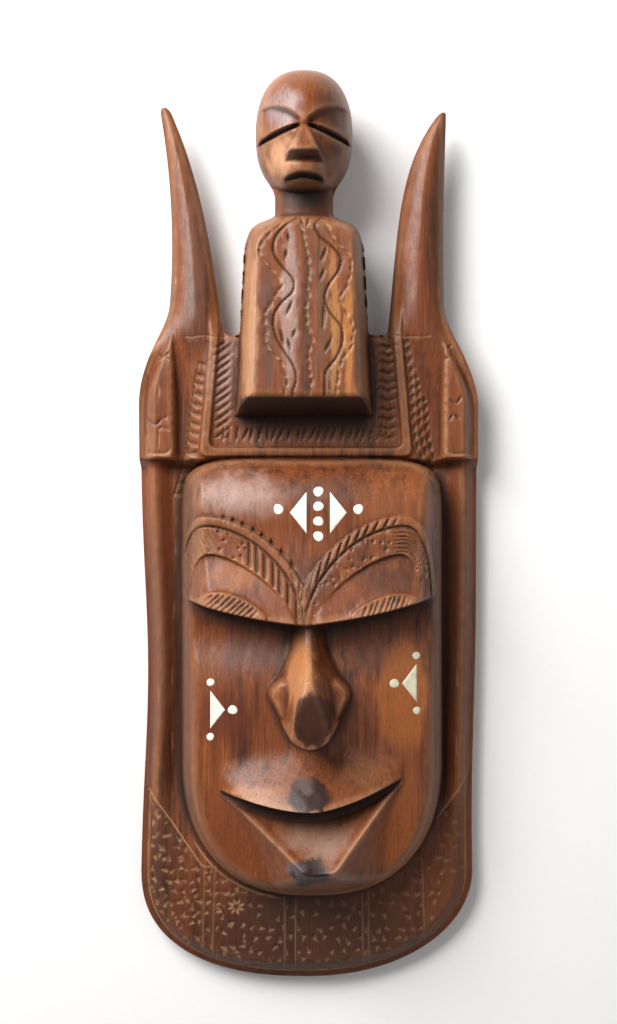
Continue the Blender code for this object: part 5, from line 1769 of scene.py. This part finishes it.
@dataclass
class MaskPiece:
    """The wooden mask, carved as one closed skin between its front and its back."""

    surface: Surface
    finish: VarnishedWood
    name: str = "carved_mask"
    cell: float = 0.00056
    kept_faces: int = 192000
    smooth_angle: float = 55.0
    # Cut depth at which grime and painted shade in a cut are full
    dark_cut: float = 0.0011
    bend_core: float = 0.0060
    bend_reach: float = 0.0320

    def shade(self, x: Field, y: Field) -> Field:
        """Painted shade in the gape, under the lids and the body's foot, on the face's chamfer, the neck and
        the head's hollows; and the chin field's own dark ground.
        """
        block = self.surface.block
        face, figure = block.face, block.figure
        side = (x - face.mouth_x) / face.mouth_half
        span = np.clip(1.0 - side**2, 0.0, 1.0)
        lip_y = face.lip_line(x)
        gape = lip_y - face.gape * span**0.6
        # Painted shade in the mouth's gape
        mouth = ease(gape - 0.0060, gape + 0.0020, y) * ease(lip_y + 0.0004, lip_y - 0.0006, y)
        mouth = mouth * ease(0.0, 0.12, span)
        foot = face.brow_foot(x)
        inset = face.inset(x, y)
        # Painted shadow under the lids
        under = ease(foot - 0.014, foot - 0.002, y) * ease(foot + 0.001, foot, y)
        under = under * ease(0.002, 0.010, inset) * 0.75
        # Painted shade on the face's chamfer
        chamfer = ease(0.0095, 0.0060, inset) * ease(-0.003, 0.0, inset) * np.where(x < 0.0, 0.58, 0.56)
        chamfer = chamfer * ease(face.top_y, face.top_y - 0.020, y) * ease(-0.185, -0.145, y)
        # Painted shadow on and under the body's undercut foot
        draft = figure.foot_y + figure.draft
        below = ease(figure.foot_y - 0.016, figure.foot_y - 0.002, y)
        below = below * ease(draft + 0.0024, draft + 0.0010, y)
        below = below * ease(figure.half_foot + 0.002, figure.half_foot - 0.006, np.abs(x - figure.x))
        # Painted shadow of the head on the neck
        neck = figure.neck_share(x, y) ** 0.3 * ease(figure.top_y - 0.006, figure.top_y + 0.006, y)
        neck = neck * (figure.head_in(x, y) < 0.0005)
        # The chin field's own dark ground
        ground = (self.surface.ornament.field_edge(x, y) > 0.0) * (inset < -0.001) * 0.34
        found = mouth
        for part in (under, chamfer, below, neck, ground, figure.dark(x, y)):
            found = np.maximum(found, part)
        return found

    def slope_of(self, x: Field, y: Field) -> tuple[Field, Field]:
        """Gradient of the distance in from the silhouette."""
        outline = self.surface.block.outline
        reach = self.cell * 0.05
        across = (outline(x + reach, y) - outline(x - reach, y)) / (2.0 * reach)
        along = (outline(x, y + reach) - outline(x, y - reach)) / (2.0 * reach)
        return across, along

    def sheet(self, cell: float) -> tuple[Field, Field, list[list[int]]]:
        """Fills the silhouette with a grid whose border points lie on it.

        Args:
            cell: The grid's spacing.

        Returns:
            The points' x and y, and the polygons between them.
        """
        block = self.surface.block
        outline = block.outline
        half = max(block.plank.half_width) + 3.0 * cell
        length = block.figure.head_top_y - block.plank.end_y
        columns = int(2.0 * half / cell) + 2
        rows = int((length + 6.0 * cell) / cell) + 2
        y_steps = block.plank.end_y - 3.0 * cell + cell * np.arange(rows)
        x, y = np.meshgrid(-half + cell * np.arange(columns), y_steps)
        x, y = x.ravel(), y.ravel()
        y = self.followed(x, y)
        inside = outline(x, y)
        near = np.abs(inside) < 0.35 * cell
        for _ in range(3):
            across, along = self.slope_of(x[near], y[near])
            pull = outline(x[near], y[near]) / np.maximum(across**2 + along**2, 0.25)
            x[near] -= across * pull
            y[near] -= along * pull
        inside[near] = 0.0
        base = (np.arange(rows - 1)[:, None] * columns + np.arange(columns - 1)).ravel()
        corners = np.stack([base, base + 1, base + columns + 1, base + columns], axis=1)
        signs = inside[corners]
        whole = (signs >= 0.0).all(axis=1) & (signs > 0.0).any(axis=1)
        partial = (signs > 0.0).any(axis=1) & (signs < 0.0).any(axis=1)
        polygons = corners[whole].tolist()
        crossings, places = self.crossings(x, y, inside, corners[partial])
        for ring in corners[partial].tolist():
            made = []
            for a, b in zip(ring, ring[1:] + ring[:1]):
                if inside[a] >= 0.0:
                    made.append(a)
                if inside[a] * inside[b] < 0.0:
                    made.append(crossings[(min(a, b), max(a, b))])
            if len(made) > 2:
                polygons.append(made)
        return np.concatenate([x, places[:, 0]]), np.concatenate([y, places[:, 1]]), polygons

    def followed(self, x: Field, y: Field) -> Field:
        """Bends the grid's rows to run along the lids' lower edge and the lip line.

        Args:
            x: The grid points' x.
            y: The grid points' y.

        Returns:
            The new y.
        """
        face = self.surface.block.face
        near = ease(face.half + 0.012, face.half, np.abs(x - face.x))
        within = np.clip(x, face.mouth_x - face.mouth_half, face.mouth_x + face.mouth_half)
        for edge, level in ((face.brow_foot(x), -0.0455), (face.lip_line(within), -0.1410)):
            held = ease(self.bend_reach, self.bend_core, np.abs(y - level)) * near
            y = y + held * (edge - level)
        return y

    def crossings(
        self, x: Field, y: Field, inside: Field, cells: Field
    ) -> tuple[dict[tuple[int, int], int], Field]:
        """Points where the grid's lines cross the silhouette.

        Args:
            x: The grid points' x.
            y: The grid points' y.
            inside: Their distances in from the silhouette.
            cells: The cells that the silhouette passes through.

        Returns:
            The number of each crossing by its two grid points, and the crossings' places.
        """
        ends = np.concatenate([np.stack([cells[:, i], cells[:, (i + 1) % 4]], axis=1) for i in range(4)])
        ends = np.unique(np.sort(ends, axis=1), axis=0)
        ends = ends[inside[ends[:, 0]] * inside[ends[:, 1]] < 0.0]
        first_in = inside[ends[:, 0]] > 0.0
        inner = np.where(first_in, ends[:, 0], ends[:, 1])
        outer = np.where(first_in, ends[:, 1], ends[:, 0])
        low = np.zeros(len(ends))
        high = np.ones(len(ends))
        for _ in range(12):
            half = (low + high) / 2.0
            middle_x, middle_y = mix(x[inner], x[outer], half), mix(y[inner], y[outer], half)
            within = self.surface.block.outline(middle_x, middle_y) > 0.0
            low = np.where(within, half, low)
            high = np.where(within, high, half)
        places = np.stack([mix(x[inner], x[outer], low), mix(y[inner], y[outer], low)], axis=1)
        numbers = {(a, b): len(x) + i for i, (a, b) in enumerate(ends.tolist())}
        return numbers, places

    def skin(self) -> bpy.types.Object:
        """The closed skin between the two sheets, as a new object."""
        cell = self.cell * 1.0
        x, y, polygons = self.sheet(cell)
        used = np.unique(np.concatenate([np.asarray(ring) for ring in polygons]))
        place = np.full(len(x), -1)
        place[used] = np.arange(len(used))
        x, y = x[used], y[used]
        numbered = place.tolist()
        polygons = [[numbered[index] for index in ring] for ring in polygons]
        count = len(x)
        edge = np.maximum(self.surface.block.outline(x, y), 0.0)
        front = np.stack([x, y, self.surface.height(x, y)], axis=1)
        back = np.stack([x, y, self.surface.block.back(x, y, edge)], axis=1)
        directed = {(ring[i - 1], ring[i]) for ring in polygons for i in range(len(ring))}
        faces = [tuple(ring) for ring in polygons]
        faces += [tuple(index + count for index in reversed(ring)) for ring in polygons]
        faces += [(b, a, a + count, b + count) for a, b in sorted(directed) if (b, a) not in directed]
        mesh = bpy.data.meshes.new(self.name)
        mesh.from_pydata(np.concatenate([front, back]).tolist(), [], faces)
        made = bpy.data.objects.new(self.name, mesh)
        bpy.context.scene.collection.objects.link(made)
        return made

    def thinned(self, piece: bpy.types.Object) -> None:
        """Leaves fewer faces where the surface is plain."""
        triangles = sum(len(face.vertices) - 2 for face in piece.data.polygons)
        take(piece)
        fewer = piece.modifiers.new("fewer faces", "DECIMATE")
        fewer.ratio = min(1.0, self.kept_faces / triangles)
        bpy.ops.object.modifier_apply(modifier=fewer.name)

    def centred(self, piece: bpy.types.Object) -> Field:
        """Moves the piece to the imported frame, and returns the move."""
        places = points_of(piece)
        low, high = places.min(axis=0), places.max(axis=0)
        box_low, box_high = (np.array(corner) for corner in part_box("mask"))
        move = (box_low + box_high) / 2.0 - (low + high) / 2.0
        move[2] = box_low[2] - low[2]
        put_points(piece, places + move)
        return move

    def paint(self, piece: bpy.types.Object, move: Field) -> None:
        """Paints grime with painted shade in the hollows, polish, raw wood, cut depth, and more painted shade
        with the chin field's ground, on the front's points.
        """
        places = points_of(piece) - move
        x, y = places[:, 0], places[:, 1]
        normals = np.empty(len(places) * 3, np.float32)
        piece.data.vertices.foreach_get("normal", normals)
        up = ease(-0.15, 0.05, normals.reshape(-1, 3)[:, 2].astype(float))
        # Grime and painted shade in hollows, and polish on edges
        dirt, polish = self.surface.grime_shade_and_polish(x, y)
        cuts, _ = self.surface.ornament.cut(x, y)
        sunk = np.clip(cuts.depth / self.dark_cut, 0.0, 1.0)
        # Painted shade, and the chin field's own dark ground
        shade = self.shade(x, y)
        layers = (("dirt", dirt), ("polish", polish), ("fresh", cuts.fresh), ("cut", sunk), ("shade", shade))
        for name, values in layers:
            layer = piece.data.attributes.new(name, "FLOAT", "POINT")
            layer.data.foreach_set("value", (values * up).astype(np.float32))

    def build(self) -> tuple[bpy.types.Object, Field]:
        """Carves, thins, places and dresses the mask.

        Returns:
            The piece, and the move from the carver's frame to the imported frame.
        """
        piece = self.skin()
        log.info("%s: carved with %d points", self.name, len(piece.data.vertices))
        self.thinned(piece)
        move = self.centred(piece)
        self.paint(piece, move)
        take(piece)
        bpy.ops.object.shade_smooth_by_angle(angle=math.radians(self.smooth_angle))
        piece.data.materials.append(self.finish.build())
        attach(piece, "root")
        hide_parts("mask")
        log.info("%s: %d faces kept", self.name, len(piece.data.polygons))
        return piece, move


@dataclass
class Inlays:
    """The bone dots and triangles, each cut to its outline, bent to the wood and rubbed flush."""

    surface: Surface
    move: Field
    bright: Bone = Bone("bone", srgb(238, 234, 224), srgb(206, 194, 170))
    dull: Bone = Bone("weathered_bone", srgb(196, 194, 170), srgb(150, 142, 112))
    proud: float = 0.00022
    deep: float = 0.0018
    rim: float = 0.00035
    forehead_dot: float = 0.0052
    forehead_x: float = 0.0053
    forehead_top_y: float = 0.0192
    forehead_step: float = 0.0079
    forehead_half: float = 0.0110
    forehead_wide: float = 0.0088
    forehead_y: float = 0.0080
    forehead_away: float = 0.0062
    forehead_side: float = 0.0211
    side_lift: float = 0.0018
    cheek_dot: float = 0.0040
    cheek_tip_dot: float = 0.0049
    cheek_half: float = 0.0101
    cheek_wide: float = 0.0079
    cheek_away: float = 0.0145
    cheek_tip_away: float = 0.0120
    cheek_at: tuple[Pair, Pair] = ((-0.0523, -0.0971), (0.0579, -0.0831))

    def round_outline(self, diameter: float, seed: float) -> list[Pair]:
        """A hand-cut disc's outline."""
        turns = np.arange(20) / 20.0 * 2.0 * math.pi
        swell = 1.0 + 0.05 * np.sin(2.0 * turns + seed) + 0.04 * np.sin(3.0 * turns + 2.0 * seed)
        radii = diameter / 2.0 * (swell + 0.02 * np.sin(7.0 * turns))
        return [(float(r * math.cos(a)), float(r * math.sin(a))) for r, a in zip(radii, turns)]

    def three_corners(self, half: float, wide: float, side: Side) -> list[Pair]:
        """A triangle's outline with its upright side at the origin and its tip to a side."""
        corners = [(0.0, -half), (wide * side.value, 0.0), (0.0, half)]
        if side is Side.LEFT:
            corners.reverse()
        ring = []
        for (ax, ay), (bx, by) in zip(corners, corners[1:] + corners[:1]):
            for step in range(8):
                ring.append((ax + (bx - ax) * step / 8.0, ay + (by - ay) * step / 8.0))
        return ring

    def piece(
        self, node: str, centre: Pair, ring: list[Pair], finish: bpy.types.Material
    ) -> bpy.types.Object:
        """Cuts one inlay.

        Args:
            node: The CAD node that it stands for.
            centre: Its place in the carver's frame.
            ring: Its outline about its centre.
            finish: Its material.

        Returns:
            The piece.
        """
        deselect()
        bpy.ops.mesh.primitive_circle_add(vertices=len(ring), radius=0.01, fill_type="NGON")
        made = bpy.context.object
        made.name = f"{node}_polished"
        plan = np.zeros((len(ring), 3))
        plan[:, :2] = np.array(ring)
        put_points(made, plan)
        bpy.ops.object.mode_set(mode="EDIT")
        bpy.ops.mesh.select_all(action="SELECT")
        bpy.ops.mesh.inset(thickness=self.rim)
        middle = tuple(plan.mean(axis=0))
        for shrink in (0.70, 0.55):
            bpy.ops.mesh.inset(thickness=0.0)
            bpy.ops.transform.resize(value=(shrink, shrink, 1.0), center_override=middle)
        bpy.ops.mesh.poke()
        bpy.ops.object.mode_set(mode="OBJECT")
        places = points_of(made)
        size = np.hypot(places[:, 0], places[:, 1])
        outer = np.arange(len(places)) < len(ring)
        x, y = places[:, 0] + centre[0], places[:, 1] + centre[1]
        height = self.surface.block.front(x, y)
        crown = self.proud * (1.0 + 0.4 * (1.0 - size / size.max()))
        places = np.stack([x, y, height + np.where(outer, self.proud * 0.2, crown)], axis=1) + self.move
        put_points(made, places)
        take(made)
        walls = made.modifiers.new("thickness", "SOLIDIFY")
        walls.thickness = self.deep
        walls.offset = -1.0
        bpy.ops.object.modifier_apply(modifier=walls.name)
        bpy.ops.object.shade_smooth_by_angle(angle=math.radians(50.0))
        made.data.materials.append(finish)
        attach(made, "root")
        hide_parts(node)
        return made

    def build(self) -> None:
        """Cuts every inlay of the forehead and the two cheeks."""
        bright, dull = self.bright.build(), self.dull.build()
        for number in range(4):
            centre = (self.forehead_x, self.forehead_top_y - self.forehead_step * number)
            ring = self.round_outline(self.forehead_dot, number)
            self.piece(f"inlay_forehead_dot_{number + 1}", centre, ring, bright)
        for side in Side:
            word = side.name.lower()
            centre = (self.forehead_x + side.value * self.forehead_away, self.forehead_y)
            ring = self.three_corners(self.forehead_half, self.forehead_wide, side)
            self.piece(f"inlay_forehead_triangle_{word}", centre, ring, bright)
            centre = (self.forehead_x + side.value * self.forehead_side, self.forehead_y + self.side_lift)
            outline = self.round_outline(self.forehead_dot, 5.0 + side.value)
            self.piece(f"inlay_forehead_dot_{word}", centre, outline, bright)
            place = self.cheek_at[0] if side is Side.LEFT else self.cheek_at[1]
            finish = bright if side is Side.LEFT else dull
            inward = Side.RIGHT if side is Side.LEFT else Side.LEFT
            outline = self.three_corners(self.cheek_half, self.cheek_wide, inward)
            self.piece(f"inlay_cheek_triangle_{word}", place, outline, finish)
            for name, away in (("upper", self.cheek_away), ("lower", -self.cheek_away)):
                centre = (place[0], place[1] + away)
                outline = self.round_outline(self.cheek_dot, away * 900.0)
                self.piece(f"inlay_cheek_dot_{word}_{name}", centre, outline, finish)
            centre = (place[0] - side.value * self.cheek_tip_away, place[1])
            outline = self.round_outline(self.cheek_tip_dot, 8.0)
            self.piece(f"inlay_cheek_dot_{word}_tip", centre, outline, finish)
        log.info("inlays: 16 pieces")


@dataclass
class Studio:
    """A pale floor, soft lights from the upper left and a camera that looks straight down."""

    camera_height: float = 0.800
    camera_y: float = 0.0098
    lens: float = 49.87
    floor_size: float = 6.0

    def floor(self) -> None:
        """Lays the floor under the mask."""
        deselect()
        bpy.ops.mesh.primitive_plane_add(size=self.floor_size)
        made = bpy.context.object
        made.name = "floor"
        made.data.materials.append(Paper().build())

    def light(
        self, name: str, place: tuple[float, float, float], size: Pair, power: float, colour: Colour
    ) -> None:
        """Hangs one soft light that faces the mask.

        Args:
            name: The light's name.
            place: Where it hangs.
            size: Its width and height.
            power: Its power in watts.
            colour: Its colour.
        """
        data = bpy.data.lights.new(name, "AREA")
        data.shape = "RECTANGLE"
        data.size, data.size_y = size
        data.energy = power
        data.color = colour
        made = bpy.data.objects.new(name, data)
        bpy.context.scene.collection.objects.link(made)
        made.location = place
        away = math.hypot(place[0], place[1])
        made.rotation_euler = (math.atan2(away, place[2]), 0.0, math.atan2(place[0], -place[1]))

    def camera(self) -> None:
        """Sets the camera above the mask, its top towards the figure's head."""
        data = bpy.data.cameras.new("camera")
        data.lens = self.lens
        data.sensor_width = 36.0
        made = bpy.data.objects.new("camera", data)
        bpy.context.scene.collection.objects.link(made)
        made.location = (0.0, self.camera_y, self.camera_height)
        bpy.context.scene.camera = made

    def build(self) -> None:
        """Sets up floor, lights, surroundings and camera."""
        self.floor()
        self.camera()
        self.light("window", (-0.72, 0.80, 0.92), (0.90, 0.90), 36.0, (1.0, 0.985, 0.965))
        self.light("sheet", (0.70, 0.10, 1.30), (1.20, 1.20), 3.0, (1.0, 0.99, 0.98))
        world = bpy.data.worlds.new("room")
        world.use_nodes = True
        sky = world.node_tree.nodes["Background"]
        sky.inputs["Color"].default_value = (1.0, 1.0, 1.0, 1.0)
        sky.inputs["Strength"].default_value = 0.24
        bpy.context.scene.world = world
        bpy.context.scene.view_settings.view_transform = "Standard"
        log.info("studio: floor, two lights and camera")


def corners(box: tuple) -> list[list[float]]:
    """A box as plain lists of numbers."""
    return [[float(part) for part in corner] for corner in box]


def main() -> None:
    """Builds the mask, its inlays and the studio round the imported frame."""
    logging.basicConfig(level=logging.INFO, format="%(name)s %(message)s")
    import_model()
    Studio().build()
    block = Block()
    surface = Surface(block, Ornament(block))
    _, move = MaskPiece(surface, VarnishedWood()).build()
    Inlays(surface, move).build()


if __name__ == "__main__":
    main()
